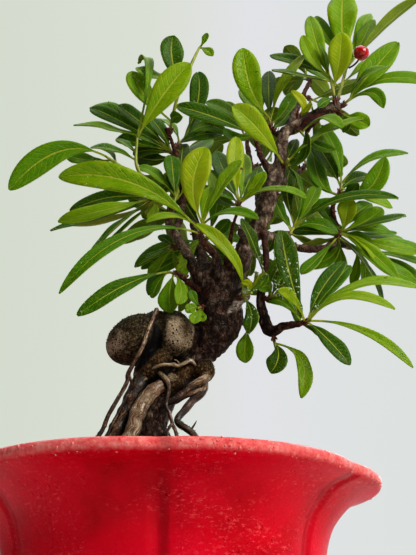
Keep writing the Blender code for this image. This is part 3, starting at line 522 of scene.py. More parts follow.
# The band of the lip that carries beads, its radius, and how far its rounded top and its underside draw in
LIP_TOP = 0.1045
LIP_BAND = 0.006
LIP_RADIUS = 0.0994
LIP_TURN = 0.1036
TOP_INSET = 0.0012
UNDERSIDE = 0.1005
UNDERSIDE_SLOPE = 1.5
chance = random.Random("water beads")
places = []
for _ in range(BEADS):
    azimuth = chance.random() * math.tau
    height = LIP_TOP - LIP_BAND * chance.random() ** 1.3
    grow = 1 - CREASE_DEPTH * crease_at(azimuth) ** CREASE_SHARPNESS
    across = Vector((math.cos(azimuth), math.sin(azimuth), 0))
    radius = LIP_RADIUS - (TOP_INSET if height > LIP_TURN else 0) - max(0, UNDERSIDE - height) * UNDERSIDE_SLOPE
    centre = across * radius * grow + Vector((0, 0, height))
    size = (0.25 + 0.75 * chance.random() ** 3) * BEAD_RADIUS
    squash = Matrix.Diagonal((size, size, size * (0.8 + 0.5 * chance.random()), 1))
    places.append((0, Matrix.Translation(centre) @ squash, chance.random()))
water, tree, shader, place = new_finish("water", Roughness=0.04, Coat_Weight=1.0, Coat_Roughness=0.02)
link(shader, Base_Color=blend(grain(place, 300), (236, 84, 84), (250, 140, 130)))
beads_piece = finished("lip_water_beads", scatter(prototypes(1, lambda bm, _: ball(bm, 2)), places), [water])
print("beads:", BEADS)

# %% [markdown]
# ## Drainage mesh
# A square of black plastic mesh lies over each drain hole and keeps the soil in. Its CAD shape is right, so
# it stays, and only its finish changes: dull black plastic with a fine moulded texture and a little dust.

# %% Mesh finish
plastic, tree, shader, place = new_finish("mesh_plastic", Specular_IOR_Level=0.4)
dust = between(grain(place, 300, 4, 0.6), 0.5, 0.75)
link(shader, Base_Color=blend(dust, (22, 22, 23), (70, 62, 52)), Roughness=plus(0.5, times(dust, 0.3)))
link(shader, Normal=bump(grain(place, 1800, 2), 0.0001, 0.4))
for name in ("drainage_mesh_left", "drainage_mesh_right"):
    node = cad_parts[name]
    node.data.materials.clear()
    node.data.materials.append(plastic)
print("drainage meshes finished")

# %% [markdown]
# ## Soil
# Bonsai soil is a coarse mix of fired clay grains, pumice and bark, mounded a little under the rim. A
# displaced disc looks like mud from above, so the mound is a low lobed solid with a rough surface, and real
# grains are scattered over it: small spheres with few faces, each squashed, turned and tinted by rule.

# %% Soil mound
SOIL_BOTTOM = 0.0086
SOIL_SIDE = ((0.0, SOIL_BOTTOM), (0.0530, SOIL_BOTTOM), (0.0618, 0.0260), (0.0668, 0.0620), (0.0702, 0.0810),
             (0.0742, 0.0875), (0.0834, 0.0942))
SOIL_STEP = 0.0015
SOIL_STEPS_PER_LOBE = 24
# Above this height the surface is rough, with lumps and crumbs of these sizes
ROUGH_ABOVE = 0.0955
LUMP, CRUMB = 0.0007, 0.0004
SOIL_TOP = ((0.0780, 0.0975), (0.0690, 0.0996), (0.0520, 0.1016), (0.0300, 0.1024), (0.0, 0.1026))
line = [Vector(place) for place in SOIL_SIDE] + smooth_line([Vector(place) for place in SOIL_TOP], SOIL_STEP)
bm = lobed_spin([tuple(place) for place in line], SOIL_STEPS_PER_LOBE)
for vert in bm.verts:
    if vert.co.z > ROUGH_ABOVE:
        vert.co.z += noise.noise(vert.co * 160) * LUMP + noise.noise(vert.co * 600) * CRUMB
earth, tree, shader, place = new_finish("soil", Roughness=0.95, Specular_IOR_Level=0.2)
crumb, tint = cells(place, 620)
colour = ramp(tint, (0.0, (38, 27, 18)), (0.45, (66, 46, 30)), (0.75, (98, 72, 46)), (1.0, (134, 112, 84)))
colour = blend(between(grain(place, 45, 4), 0.5, 0.7), colour, (40, 50, 18))
link(shader, Base_Color=colour, Normal=bump(between(crumb, 0.6, 0.0), 0.0008, 0.8))
soil_piece = finished("soil_mound", bm, [earth], ["soil"])
print("soil mound:", len(soil_piece.data.polygons), "faces")

# %% Grains of soil
GRAINS = 1500
GRAIN_SHAPES = 24
GRAIN_ROUGHNESS = 0.35
GRAIN_LIFT = 0.15
SOIL_RADIUS = 0.081
chance = random.Random("soil grains")


def read_off(table, place):
    """The value at a place in a table of falling (place, value), straight between its rows."""
    for (high, above), (low, below) in zip(table, table[1:]):
        if place >= low:
            return below + (above - below) * min(1.0, (place - low) / (high - low))
    return table[-1][1]


def rough_grain(bm, index):
    """A lumpy grain with few faces."""
    bmesh.ops.create_uvsphere(bm, u_segments=6, v_segments=4, radius=1)
    for vert in bm.verts:
        vert.co *= 1 + (chance.random() - 0.5) * GRAIN_ROUGHNESS


places = []
for index in range(GRAINS):
    azimuth = chance.random() * math.tau
    radius = SOIL_RADIUS * math.sqrt(chance.random()) * (1 - CREASE_DEPTH * crease_at(azimuth))
    size = (0.5 + 1.1 * chance.random() ** 2) * MM
    high = read_off(SOIL_TOP, radius) + size * GRAIN_LIFT
    spot = Vector((radius * math.cos(azimuth), radius * math.sin(azimuth), high))
    turn = Matrix.Rotation(chance.random() * math.tau, 4, Vector((chance.random(), chance.random(), 1)))
    across, tall = size * (0.8 + 0.6 * chance.random()), size * (0.6 + 0.4 * chance.random())
    stretch = Matrix.Diagonal((across, size, tall, 1))
    places.append((index, Matrix.Translation(spot) @ turn @ stretch, chance.random()))
grit, tree, shader, place = new_finish("soil_grain", Roughness=0.92, Specular_IOR_Level=0.2)
shade = attribute(tree, "tone")
colour = ramp(shade, (0.0, (44, 32, 22)), (0.4, (92, 62, 38)), (0.7, (138, 100, 62)), (0.9, (176, 160, 132)),
              (1.0, (60, 60, 58)))
mottle = between(grain(place, 1200, 3), 0.35, 0.65)
link(shader, Base_Color=blend(times(mottle, 0.5), colour, (52, 38, 26)))
link(shader, Normal=bump(grain(place, 1600, 3), 0.0003, 0.7))
grains_piece = finished("soil_grains", scatter(prototypes(GRAIN_SHAPES, rough_grain), places), [grit])
print("grains:", GRAINS)

# %% [markdown]
# ## Where the plant's parts are
# Every limb, root and leaf is placed as the photograph shows it: by (x, z) in millimetres on the upright
# plane through the pot's middle, and by how far it lies from that plane toward the eye. These are the same
# values that the CAD solids were built from, so the fine pieces land exactly where the solids are.

# %% Points along the lines of sight
def seen(x, z, near=0.0):
    """The point that is seen at (x, z) on the middle plane, and lies this much nearer to the eye."""
    flat = Vector((x * MM, 0, z * MM))
    return EYE + (flat - EYE) * (1 + near * MM / EYE.y)


print("10 mm nearer than (50, 200) is", [round(v / MM, 1) for v in seen(50, 200, 10)])

# %% Roots: (x, z, near, radius) from the knob down, then the place (x, y, radius) where each enters the soil
ROOTS = {
    "thin_front": ([(-5, 190.3, 9, 1.15), (-8.4, 181, 13, 1.0), (-11.7, 171, 15, 1.05), (-16.1, 162, 14, 0.95),
        (-18.6, 156.5, 12, 1.05), (-19.5, 151.5, 10.5, 1.0), (-26.9, 137.5, 9, 1.05), (-31.1, 127.5, 8, 1.1)],
        (-42, -12, 1.4)),
    "thick_left": ([(-9.5, 160, 3, 4.0), (-14.5, 149, 4, 4.0), (-18, 141, 4, 4.0), (-24, 127, 4, 4.0)],
        (-33, -3, 3.4)),
    "thick_front": ([(-1.5, 151.5, 6.5, 3.3), (-5.8, 149, 8, 3.4), (-10.4, 143.6, 9, 3.6), (-14, 136, 10, 3.6),
        (-16, 128, 11, 3.5)], (-22, -18, 3.2)),
    "thin_middle": ([(-4, 158, 6, 1.1), (-0.5, 154.6, 10, 1.25), (1.4, 150.5, 10, 1.05), (0.9, 146.5, 10, 0.8),
        (0, 141.7, 10, 0.75), (1.7, 137.5, 10, 0.8), (3.1, 132.4, 10, 0.85), (5, 127.5, 10, 0.9)], (9, -20, 1.2)),
    "pale_bow": ([(-8, 158.4, 7, 0.5), (-5.6, 160.2, 9.5, 0.8), (-2.5, 161.4, 10, 0.85), (1.5, 161.6, 9.5, 0.8),
        (3.4, 161.6, 9.3, 1.1), (5.6, 161.1, 9, 0.85), (9.6, 162.8, 8, 0.95), (11.6, 163.5, 7.5, 1.0),
        (14.6, 160.2, 4, 0.7)], None),
    "pale_upper": ([(20, 158, 2, 2.2), (18.2, 154.6, 5.5, 2.1), (15, 152.8, 6.5, 2.0), (11, 150, 6.5, 1.8),
        (7.5, 146.8, 6, 1.8), (3, 143.6, 6, 1.8), (-4, 141, 5, 1.8)], None),
    "pale_lower": ([(16, 157, 2, 2.0), (18.4, 152, 2.5, 1.9), (17, 148.2, 3.5, 2.2), (12.6, 144, 4, 1.9),
        (9, 139.3, 5, 1.8), (5.6, 135, 6, 1.7), (6.4, 132.3, 7, 1.6), (10, 130, 8.5, 1.6), (14, 126, 9, 1.6)],
        (20, -14, 1.8)),
    "back_right": ([(4, 149, -4, 3.0), (0, 138, -13, 2.8), (-1, 126, -23, 2.6)], (15, 29, 2.8)),
    "back_left": ([(-3, 147, -2, 3.4), (-11, 140, -10, 3.2), (-20, 124, -18, 3.0)], (-27, 25, 2.8)),
    "back_middle": ([(-2, 144, -4, 2.8), (-6, 134, -15, 2.6), (-8, 122, -24, 2.4)], (-8, 34, 2.4)),
}
ROOTLETS = {
    "second_fork": [(17, 149.6, 4, 1.7), (12.1, 147.6, 5, 1.5), (8, 145.6, 5.5, 1.5), (2, 142, 4, 1.4)],
    "foot_split": [(3.4, 133, 10, 0.7), (1.6, 130.6, 10.5, 0.7), (0.6, 127.4, 10.5, 0.6), (0.4, 118, 10.5, 0.5)],
    "spur": [(12, 129.6, 8.5, 0.5), (13.6, 132.2, 9, 0.4), (14.5, 134, 9, 0.15)],
    "left_split": [(-18.4, 157.5, 11, 0.8), (-16.9, 153, 10, 0.7), (-17.4, 149, 8, 0.7), (-21, 141, 7.5, 0.7),
        (-26, 131, 8, 0.7), (-29, 122, 8, 0.6)],
    "knob_cord": [(6.4, 161.4, 8.5, 0.45), (5, 163.4, 9.5, 0.4), (3.4, 164.2, 9.8, 0.3)],
}
FOOT_PEG = (-5, 3, 11)
FOOT_TOP = 0.122
PEG_TOP = 0.1085
PEG_BOTTOM = 0.0950
print("roots:", len(ROOTS), "and rootlets:", len(ROOTLETS))

# %% Trunk and limbs: (x, z, near, radius) from the lower end up
LIMBS = {
    "trunk": [(-6, 118, 0, 11.5), (-8.5, 131, 0, 8.8), (-4.5, 143, 0, 7.5), (5, 154, 0, 6.2), (15.5, 164, 0, 5.2),
        (20.5, 171.5, 0, 7.2), (25, 181, 0, 10.6), (25, 192, 0, 11), (22, 203, 0, 8.5), (20, 210, 0, 5)],
    "broken_stub": [(24, 188, 4, 5), (31, 193, 7, 4.2), (39, 199, 9, 3.0)],
    "left_limb": [(18, 202, 3, 4), (12, 214, 4, 2.8), (8, 222, 4, 2.4), (3, 230, 4, 2.2), (0, 237, 3, 1.9),
        (2, 243, 3, 1.7), (-1, 249, 3, 1.5), (-6, 249, 3, 1.3)],
    "left_twig": [(-1, 249, 3, 1.4), (-11, 256, 9, 1.2), (-19.4, 263.4, 10, 1.1)],
    "front_limb": [(25, 203, 6, 3.4), (24, 217, 10, 2.0), (20, 222, 14, 1.7), (16.5, 226.5, 18, 1.4)],
    "right_limb": [(23, 196, 0, 8), (30, 206, 0, 6.5), (36, 215, 1, 5.2), (40, 226, 2, 4.4), (46, 236, 2, 4.3),
        (50, 246, 2, 4.3), (53, 257, 2, 4.0), (57, 269, 2, 3.4), (57.5, 278, 2, 3.1), (60, 287, 2, 3.0),
        (66, 291, 2, 2.9), (75, 297, 2, 2.8), (84, 301.5, 2, 3.0), (89, 302.5, 2, 3.0)],
    "middle_twig": [(53, 262, 2, 2.6), (50, 268, 1, 1.9), (47, 274, -1, 1.6), (45.2, 281.5, -4, 1.3)],
    "top_twig": [(59, 285, 1, 2.2), (55, 286.5, 0, 1.5), (53, 289.3, -1, 1.2)],
    "drop_branch": [(45, 237, 3, 2.4), (48, 228, 4, 1.7), (49, 214, 4, 1.6), (47, 204, 4, 1.7), (45.8, 192, 4, 2.4),
        (48, 182, 4, 3.0), (51, 178.5, 4, 2.8), (57, 181, 8, 1.9), (65.5, 182.5, 12, 1.6)],
    "low_left_twig": [(17, 198, 5, 1.8), (10, 204, 7, 1.3), (6, 207.3, 8, 1.1)],
    "bud_twig": [(29, 214, 5, 1.7), (31, 226, 9, 1.2), (33, 236, 13, 1.0), (35.3, 243.5, 16, 1.0)],
    "far_right_branch": [(43, 231, 0, 3.2), (55, 227, -6, 2.2), (66, 222, -11, 1.9), (78, 222, -14, 2.0),
        (84, 225, -14, 2.2), (91, 223, -20, 1.8), (92.6, 222.3, -24, 1.3)],
    "far_right_riser": [(84, 225, -14, 1.6), (85, 233, -14, 1.3), (83, 244, -15, 1.2), (86.5, 251, -15, 1.1)],
    "upper_left_branch": [(3, 229, 3, 2.0), (7, 245, -6, 1.7), (6, 262, -10, 1.4), (2, 279, -10, 1.2),
        (-2.2, 290, -8, 1.1)],
    "back_low": [(28, 196, -3, 4.2), (34, 206, -18, 2.8), (38, 218, -34, 2.0), (36, 232, -50, 1.5)],
    "back_left": [(21, 203, -3, 3.6), (16, 220, -20, 2.4), (12, 240, -36, 1.8), (14, 258, -50, 1.4)],
    "back_middle": [(47, 239, -2, 3.2), (46, 253, -18, 2.3), (42, 268, -36, 1.7), (40, 282, -48, 1.3)],
    "back_right": [(52, 254, -2, 3.0), (59, 259, -18, 2.2), (65, 263, -36, 1.7), (70, 268, -52, 1.3)],
    "back_top": [(62, 290, -1, 2.4), (66, 300, -14, 1.8), (70, 309, -28, 1.4), (74, 318, -38, 1.2)],
}
print("limbs:", len(LIMBS))

# %% Swellings: (x, z, near), semi-axes (across, deep, tall), lean in degrees
KNOBS = {
    "knob_left": ((-14.8, 174.4, 3), (15.5, 12, 11.6), -30),
    "knob_right": ((1.9, 175.6, 1), (10.9, 11.5, 13.2), 8),
    "knob_bridge": ((-5.5, 181.3, 0), (11, 9, 6.8), -12),
    "knob_neck": ((-5.5, 162.5, 2), (13.5, 8, 7), -48),
    "grey_bulge": ((3.2, 152.5, 4), (6.5, 5, 5), -15),
    "waist": ((17.2, 158.4, 1), (5.2, 4.8, 5.6), 0),
    "shoulder": ((13.4, 173.8, -1), (6.4, 6, 9.5), -15),
    "fork": ((21, 205, 1), (9, 7, 10), 0),
}


def swelling(place, semi_axes, lean):
    """The matrix that makes a swelling of a ball of radius 1."""
    return Matrix.Translation(seen(*place)) @ leant(lean) @ Matrix.Diagonal((*(v * MM for v in semi_axes), 1))


print("swellings:", len(KNOBS))

# %% [markdown]
# ## The wood
# Root, knob, trunk and limbs grew as one piece, so no joint between them may show. Tubes that merely cross
# would leave hard rings where they meet. Here every tube and swelling goes into one mesh, and a voxel
# remesh melts them together as modelling clay would. A few rounds of smoothing soften the joins, and then
# each point moves in or out by a noise chosen by what it is: rough bark on the trunk, low swells on the
# knob, gentle lumps on the roots.

# %% Smooth tubes through the points
TUBE_STEP = 0.0015


def sized(places):
    """Points of (x, y, z, radius) from rows of (x, z, near, radius)."""
    return [Vector((*seen(x, z, near), radius * MM)) for x, z, near, radius in places]


def peg_line(peg, top):
    """An upright peg of (x, y, radius) from this height down into the soil."""
    x, y, radius = (v * MM for v in peg)
    return [Vector((x, y, top, radius)), Vector((x, y, PEG_BOTTOM, radius))]


def rods(lines, sides):
    """One mesh with a closed round bar along each line of (x, y, z, radius)."""
    curve = bpy.data.curves.new("rods", "CURVE")
    curve.dimensions = "3D"
    curve.bevel_depth = 1.0
    curve.bevel_resolution = sides // 2 - 2
    curve.use_fill_caps = True
    for line in lines:
        run = curve.splines.new("POLY")
        run.points.add(len(line) - 1)
        for knot, place in zip(run.points, line):
            knot.co = (*place[:3], 1)
            knot.radius = place[3]
    holder = placed("rods", curve)
    bpy.context.view_layer.update()
    mesh = bpy.data.meshes.new_from_object(holder.evaluated_get(bpy.context.evaluated_depsgraph_get()))
    bpy.data.objects.remove(holder)
    bpy.data.curves.remove(curve)
    return mesh


tubes = [smooth_line(sized(places), TUBE_STEP) for places in LIMBS.values()] + [peg_line(FOOT_PEG, FOOT_TOP)]
print("tubes:", len(tubes), "with", sum(len(line) for line in tubes), "points")

# %% Melt the tubes and swellings into one
VOXEL = 0.00066
TUBE_SIDES = 16
# A swelling that the CAD solid doesn't need: the heel that the pale roots spring from
HEEL = ((18.6, 158.4, 3.2), (4.6, 4.2, 5.6), 0)


def smoothed(bm, rounds, factor):
    """Draws every point toward its neighbours."""
    for _ in range(rounds):
        bmesh.ops.smooth_vert(bm, verts=bm.verts, factor=factor, use_axis_x=True, use_axis_y=True, use_axis_z=True)


bm = bmesh.new()
absorb(bm, rods(tubes, TUBE_SIDES))
for knob in [*KNOBS.values(), HEEL]:
    ball(bm, 4, swelling(*knob))
wood = placed("melting", mesh_of("melting", bm))
melt = wood.modifiers.new("melt", "REMESH")
melt.mode = "VOXEL"
melt.voxel_size = VOXEL
applied(wood)
bm = bmesh.new()
bm.from_mesh(wood.data)
bpy.data.objects.remove(wood)
smoothed(bm, 3, 0.5)
print("wood:", len(bm.verts), "points")

# %% [markdown]
# ### Kinds of wood
# Bark can't be one pattern here: the knob is smooth skin, the stub is torn, the high limbs are painted paler grey.
# Each point of the wood gets a share of every kind, from what it lies on or near, and moves as that kind does.

# %% How closed in a point of the wood is
GOLDEN_ANGLE = math.radians(137.5)
RAYS = 9
REACH = 0.009
RAY_LIFT = 0.0002
# The rays lean from the point's normal by the first angle in degrees, up to the second more
FAN_FROM, FAN_OVER = 22, 52


def close_in(pieces):
    """Gives each point of the pieces the share of short rays outward from it that hit one of them, for painted
    shade.
    """
    points, faces = [], []
    for piece in pieces:
        start = len(points)
        points += [vert.co.copy() for vert in piece.data.vertices]
        faces += [[start + index for index in face.vertices] for face in piece.data.polygons]
    tree_of_faces = BVHTree.FromPolygons(points, faces)
    fans = []
    for index in range(RAYS):
        tilt, turn = math.radians(FAN_FROM + FAN_OVER * index / (RAYS - 1)), GOLDEN_ANGLE * index
        fans.append(Vector((math.sin(tilt) * math.cos(turn), math.sin(tilt) * math.sin(turn), math.cos(tilt))))
    for piece in pieces:
        shut = []
        for vert in piece.data.vertices:
            stand = vert.normal.to_track_quat("Z", "Y")
            foot = vert.co + vert.normal * RAY_LIFT
            hits = sum(tree_of_faces.ray_cast(foot, stand @ fan, REACH)[0] is not None for fan in fans)
            shut.append(hits / RAYS)
        piece.data.attributes.new("occlusion_shade", "FLOAT", "POINT").data.foreach_set("value", shut)


print("rays from each point:", RAYS, "of", REACH / MM, "mm")

# %% Shares that fade with distance
# The part of a ball's radius that counts as well inside
BALL_CORE = 0.55


def eased(value, low, high):
    """0 below low, 1 above high and a smooth step between; low may be the greater."""
    share = max(0.0, min(1.0, (value - low) / (high - low)))
    return share * share * (3 - 2 * share)


def finder(places):
    """A tree that finds which of the places lie near a point."""
    found = KDTree(len(places))
    for index, place in enumerate(places):
        found.insert(place, index)
    found.balance()
    return found


def beside(spot, line):
    """How far a point lies outside a line of (x, y, z, radius), looked at from the front."""
    return min(math.hypot(spot.x - place[0], spot.z - place[2]) - place[3] for place in line)


def within(spot, balls):
    """1 well inside any of the balls ((x, z, near), radius), fading to 0 at its edge."""
    return max(eased((spot - centre).length, radius, radius * BALL_CORE) for centre, radius in balls)


def ball_places(rows):
    """Balls from rows of (x, z, near, radius)."""
    return [(seen(x, z, near), radius * MM) for x, z, near, radius in rows]


print("halfway between two bounds a share is", eased(0.5, 0, 1))

# %% Marks on the wood: lines of (x, z, near, half width) and balls of (x, z, near, radius)
# The line of painted shadow in the fold between the knob's halves, and the torn end of the broken limb
KNOB_FOLD_SHADOW = smooth_line(sized([(-4.8, 181, 8, 0.5), (-5.4, 174, 8, 1.7), (-7.8, 168.5, 8, 2.2),
                               (-10.5, 164.5, 8, 1.8), (-12.5, 161.5, 8, 1.2)]), TUBE_STEP)
TORN = smooth_line(sized([(30, 188.2, 10, 0.5), (34.5, 193.5, 11, 1.7), (39.5, 199, 11, 2.2)]), TUBE_STEP)
# Where the wood is brown skin and not scaly bark, and where that skin is dried pale
BROWN = ball_places(((-3, 164, 9, 10), (3.2, 152.5, 8, 7), (18.6, 157, 6, 8), (-10, 154, 7, 7), (10, 158, 6, 6)))
DRIED = ball_places(((2.6, 156, 9.5, 3.6), (19.2, 154.5, 6.5, 4.2)))
print("marks:", len(KNOB_FOLD_SHADOW) + len(TORN), "points in lines and", len(BROWN + DRIED), "balls")

# %% Say what each point is, and move it as that kind of bark does
samples = [place for line in tubes for place in line]
near_tube = finder([place[:3] for place in samples])
knob_shapes = [swelling(*KNOBS[name]).inverted() for name in ("knob_left", "knob_right")]
# Bounds of the shares below, as eased takes them: the first row in parts of a swelling's size, then in metres
KNOB_EDGE, FOLD_REACH, RIGHT_LIT, LEFT_LIT = (1.12, 1.05), (1.3, 1.08), (1.2, 0.1), (0.85, 0.15)
FACING, YOUNG_RADIUS = (0.0, -0.003), (0.0024, 0.0012)
FOLD_SHADOW_SIDE, TORN_SIDE = (0.0023, -0.0010), (0.0007, -0.0005)
TORN_FROM, TORN_TO = 0.026, 0.044
# How far off its tube a point of the knob lies, how deep the knob's crease is, and the radius of rough bark
OFF_TUBE, FOLD_DEPTH, ROUGH_RADIUS = 0.0004, 0.0012, 0.004
WOOD_LAYERS = ("knob", "painted_fold_shadow", "dried_and_lit_pale", "young", "brown", "torn")
for name in WOOD_LAYERS:
    bm.verts.layers.float.new(name)
knob_layer, painted_fold_shadow_layer, dried_and_lit_pale_layer, young_layer, brown_layer, torn_layer = (
    bm.verts.layers.float[name] for name in WOOD_LAYERS)
bm.normal_update()
for vert in bm.verts:
    spot = vert.co
    off, thick = min(((spot - samples[index].to_3d()).length - samples[index][3], samples[index][3])
                     for _, index, _ in near_tube.find_n(spot, 6))
    left, right = (inverse @ spot for inverse in knob_shapes)
    on_knob = eased(min(left.length, right.length), *KNOB_EDGE) * (off > OFF_TUBE)
    vert[knob_layer] = on_knob
    fold = eased(max(left.length, right.length), *FOLD_REACH) * on_knob
    facing = eased(spot.y, *FACING)
    # Painted shadow: the front of the fold between the knob's halves is marked for near-black colour
    vert[painted_fold_shadow_layer] = eased(beside(spot, KNOB_FOLD_SHADOW), *FOLD_SHADOW_SIDE) * facing if left.length < 1.8 else 0
    # Painted light: the knob's skin is marked paler on the lit upper front of its right half and the lit left side
    # of its left half; the DRIED balls add real dried skin
    painted_lit_right = eased(math.hypot(right.x - 0.56, right.z - 0.1), *RIGHT_LIT)
    painted_lit_right *= eased(right.y, 0.3, -0.2) * (right.length < 1.15)
    painted_lit_left = 0.62 * eased(math.hypot(left.x + 0.85, left.z - 0.3), *LEFT_LIT) * (left.length < 1.15)
    vert[dried_and_lit_pale_layer] = max(painted_lit_right, painted_lit_left, within(spot, DRIED) * (1 - on_knob))
    vert[young_layer] = eased(thick, *YOUNG_RADIUS) * (1 - on_knob)
    brown = within(spot, BROWN) * (1 - on_knob)
    vert[brown_layer] = brown
    vert[torn_layer] = eased(beside(spot, TORN), *TORN_SIDE) * facing if TORN_FROM < spot.x < TORN_TO else 0
    rough = min(1.0, thick / ROUGH_RADIUS) * (1 - on_knob) * (1 - 0.7 * brown)
    coarse = noise.noise(spot * 150) * 0.0007 + noise.noise(spot * 380) * 0.0006
    plates = abs(noise.noise(Vector((spot.x * 420, spot.y * 420, spot.z * 170)))) * 0.0009
    swells = noise.noise(spot * 90) * 0.0004 + noise.noise(spot * 420) * 0.00012
    scaly = (coarse + plates) * rough + swells * brown
    vert.co += vert.normal * (swells - FOLD_DEPTH * fold if on_knob > 0.5 else scaly)
smoothed(bm, 1, 0.25)
print("wood shaped:", len(bm.faces), "faces")

# %% [markdown]
# ### Bark
# The trunk's bark is dark brown and scaly, with grey lichen on its high places. The knob is smooth skin,
# pale brown with small dark breathing pores, painted paler as painted light on its lit sides, and painted
# near black as painted shadow in the fold between its halves. The high limbs are painted paler grey, partly
# greyer bark and partly painted light; young wood is reddish, and the stub of a lost limb shows pale torn
# fibres. One material holds them all, and the attributes on the points say which shows. One of those counts
# how many short rays from a point meet other wood, and the bark is painted darker there as painted shade.

# %% Bark material
PORE_WIDTH = 0.36
bark, tree, shader, place = new_finish("bark", Specular_IOR_Level=0.2)
knob, painted_fold_shadow, dried_and_lit_pale, young, brown, torn, occlusion_shade = (attribute(tree, name) for name in (*WOOD_LAYERS, "occlusion_shade"))
up = axis_of(put(tree, "NewGeometry").outputs["Normal"], "Z")
broad = grain(place, 70, 5, 0.6)
middle = grain(place, 330, 6, 0.65)
fine = grain(place, 1300, 4, 0.6)
tall = stretched(place, (1.0, 1.0, 0.4))
rifts = put(tree, "TexVoronoi", {"feature": "DISTANCE_TO_EDGE"}, Vector=tall, Scale=420)
crack = between(rifts.outputs["Distance"], 0.09, 0.0)
flakes = times(plus(grain(tall, 300, 6, 0.75, 0.6), middle), 0.5)
scaly = ramp(flakes, (0.34, (9, 4, 2)), (0.46, (33, 19, 12)), (0.53, (68, 46, 34)), (0.62, (130, 106, 90)),
             (0.7, (172, 152, 136)))
lichen = between(grain(place, 130, 4, 0.7), 0.55, 0.64)
scaly = blend(times(lichen, 0.5), scaly, (122, 108, 96))
high = axis_of(place, "Z")
# Painted light, partly greyer bark: above the fork the limbs are painted paler grey, where the light falls on them
grey_and_lit_high_bark = times(between(high, 0.196, 0.222), between(broad, 0.35, 0.6, 0.35, 0.9))
grey_bark = ramp(flakes, (0.34, (20, 12, 8)), (0.45, (66, 50, 38)), (0.53, (122, 102, 84)),
                 (0.64, (196, 180, 160)))
scaly = blend(grey_and_lit_high_bark, scaly, grey_bark)
reddish = ramp(middle, (0.3, (34, 12, 8)), (0.52, (84, 42, 28)), (0.7, (134, 98, 74)))
scaly = blend(young, scaly, reddish)
crack = times(crack, between(grey_and_lit_high_bark, 0.0, 0.8, 0.85, 0.3))
scaly = blend(crack, scaly, (10, 6, 4))
speckle = grain(place, 780, 4, 0.75)
dull_skin = ramp(speckle, (0.34, (14, 10, 4)), (0.48, (50, 38, 20)), (0.58, (80, 66, 40)), (0.7, (150, 136, 106)))
pale_skin = ramp(times(plus(broad, fine), 0.5), (0.36, (70, 54, 34)),
                 (0.48, (124, 106, 80)), (0.62, (180, 164, 138)))
edge = times(minus(plus(speckle, broad), 1.0), 1.3)
# Painted light, partly real dried skin: paler skin on the knob's lit sides and on the dried places
painted_lit_and_dried = between(plus(dried_and_lit_pale, edge), 0.1, 0.8)
skin = blend(painted_lit_and_dried, dull_skin, pale_skin)
skin = blend(between(grain(place, 480, 4, 0.7), 0.52, 0.66, 0.0, 0.55), skin, (62, 44, 26))
pore = 0.0
for pore_scale in (560, 1000):
    distance, size = cells(place, pore_scale)
    pit = minus(times(size, PORE_WIDTH), distance)
    pore = maths("MAXIMUM", pore, between(pit, -0.04, 0.04))
skin = blend(pore, skin, (14, 8, 4))
algae = times(between(up, 0.3, 0.9), between(broad, 0.3, 0.55))
skin = blend(times(algae, 0.8), skin, (32, 34, 8))
brown = between(plus(brown, minus(broad, 0.5)), 0.25, 0.7)
brown_skin = ramp(speckle, (0.32, (15, 8, 3)), (0.46, (50, 34, 16)), (0.58, (98, 72, 38)), (0.72, (168, 142, 100)))
moss = times(between(grain(place, 210, 4, 0.6), 0.52, 0.6), between(up, -0.1, 0.6))
brown_skin = blend(moss, brown_skin, (46, 54, 16))
brown_skin = blend(painted_lit_and_dried, brown_skin, pale_skin)
wood_colour = blend(knob, blend(brown, scaly, brown_skin), skin)
slant = stretched(place, (0.2, 1, 1.4), Rotation=(0, math.radians(49), 0))
fibres = ramp(grain(slant, 900, 4, 0.6), (0.34, (66, 52, 42)), (0.5, (158, 144, 126)), (0.66, (236, 230, 218)))
wood_colour = blend(torn, wood_colour, fibres)
# Painted shadow: near black along the fold between the knob's halves
wood_colour = blend(between(plus(painted_fold_shadow, edge), 0.2, 0.75), wood_colour, (4, 3, 2))
# Painted shade: darker where short rays from a point meet other wood
wood_colour = blend(between(occlusion_shade, 0.2, 0.8, 0.0, 0.9), wood_colour, (6, 4, 2))
link(shader, Base_Color=wood_colour, Roughness=between(middle, 0.3, 0.7, 0.6, 0.85))
relief = plus(plus(middle, times(crack, -0.6)), times(fine, 0.35))
calm = put(tree, "Mix", {"data_type": "FLOAT"}, _0=knob, _2=relief,
           _3=minus(times(fine, 0.2), times(pore, 0.6)))
link(shader, Normal=bump(calm.outputs[0], 0.0009, 0.9))
wood_piece = finished("wood", bm, [bark], ["trunk"])
print("wood finished")

# %% [markdown]
# ### Buds and thorns
# Where a leaf once stood, a pyracantha limb keeps a short spur with brown buds, and here and there a thorn.
# They break up the smooth outline of a limb. Four shapes are modelled and copied at random round the limbs.

# %% Buds and thorns on the limbs
BUDS = 120
BUD_SIZE = (0.0005, 0.0005, 0.0011)
BUD_LIFT = 0.0008
THORN = 3
THORN_LENGTH = 0.0042
THORN_RADIUS = 0.0005
THORN_LIFT = 0.0018
# How far out from the limb's line a spur starts, and how far it leans along the limb
SPUR_SEAT = 0.95
SPUR_LEAN = 0.7


def spur(bm, index):
    """A few pointed buds that crowd on a short foot, or for every fourth shape a thorn."""
    draw = random.Random(index * 3 + 1)
    if index == THORN:
        bmesh.ops.create_cone(bm, segments=6, radius1=THORN_RADIUS, radius2=0, depth=THORN_LENGTH,
                              matrix=Matrix.Translation((0, 0, THORN_LIFT)))
        return
    for bud in range(index + 2):
        turn = spun(math.tau * bud / (index + 2) + draw.random()) @ leant(draw.uniform(5, 40))
        size = Matrix.Diagonal((*(v * draw.uniform(0.7, 1.2) for v in BUD_SIZE), 1))
        ball(bm, 1, turn @ Matrix.Translation((0, 0, BUD_LIFT)) @ size)


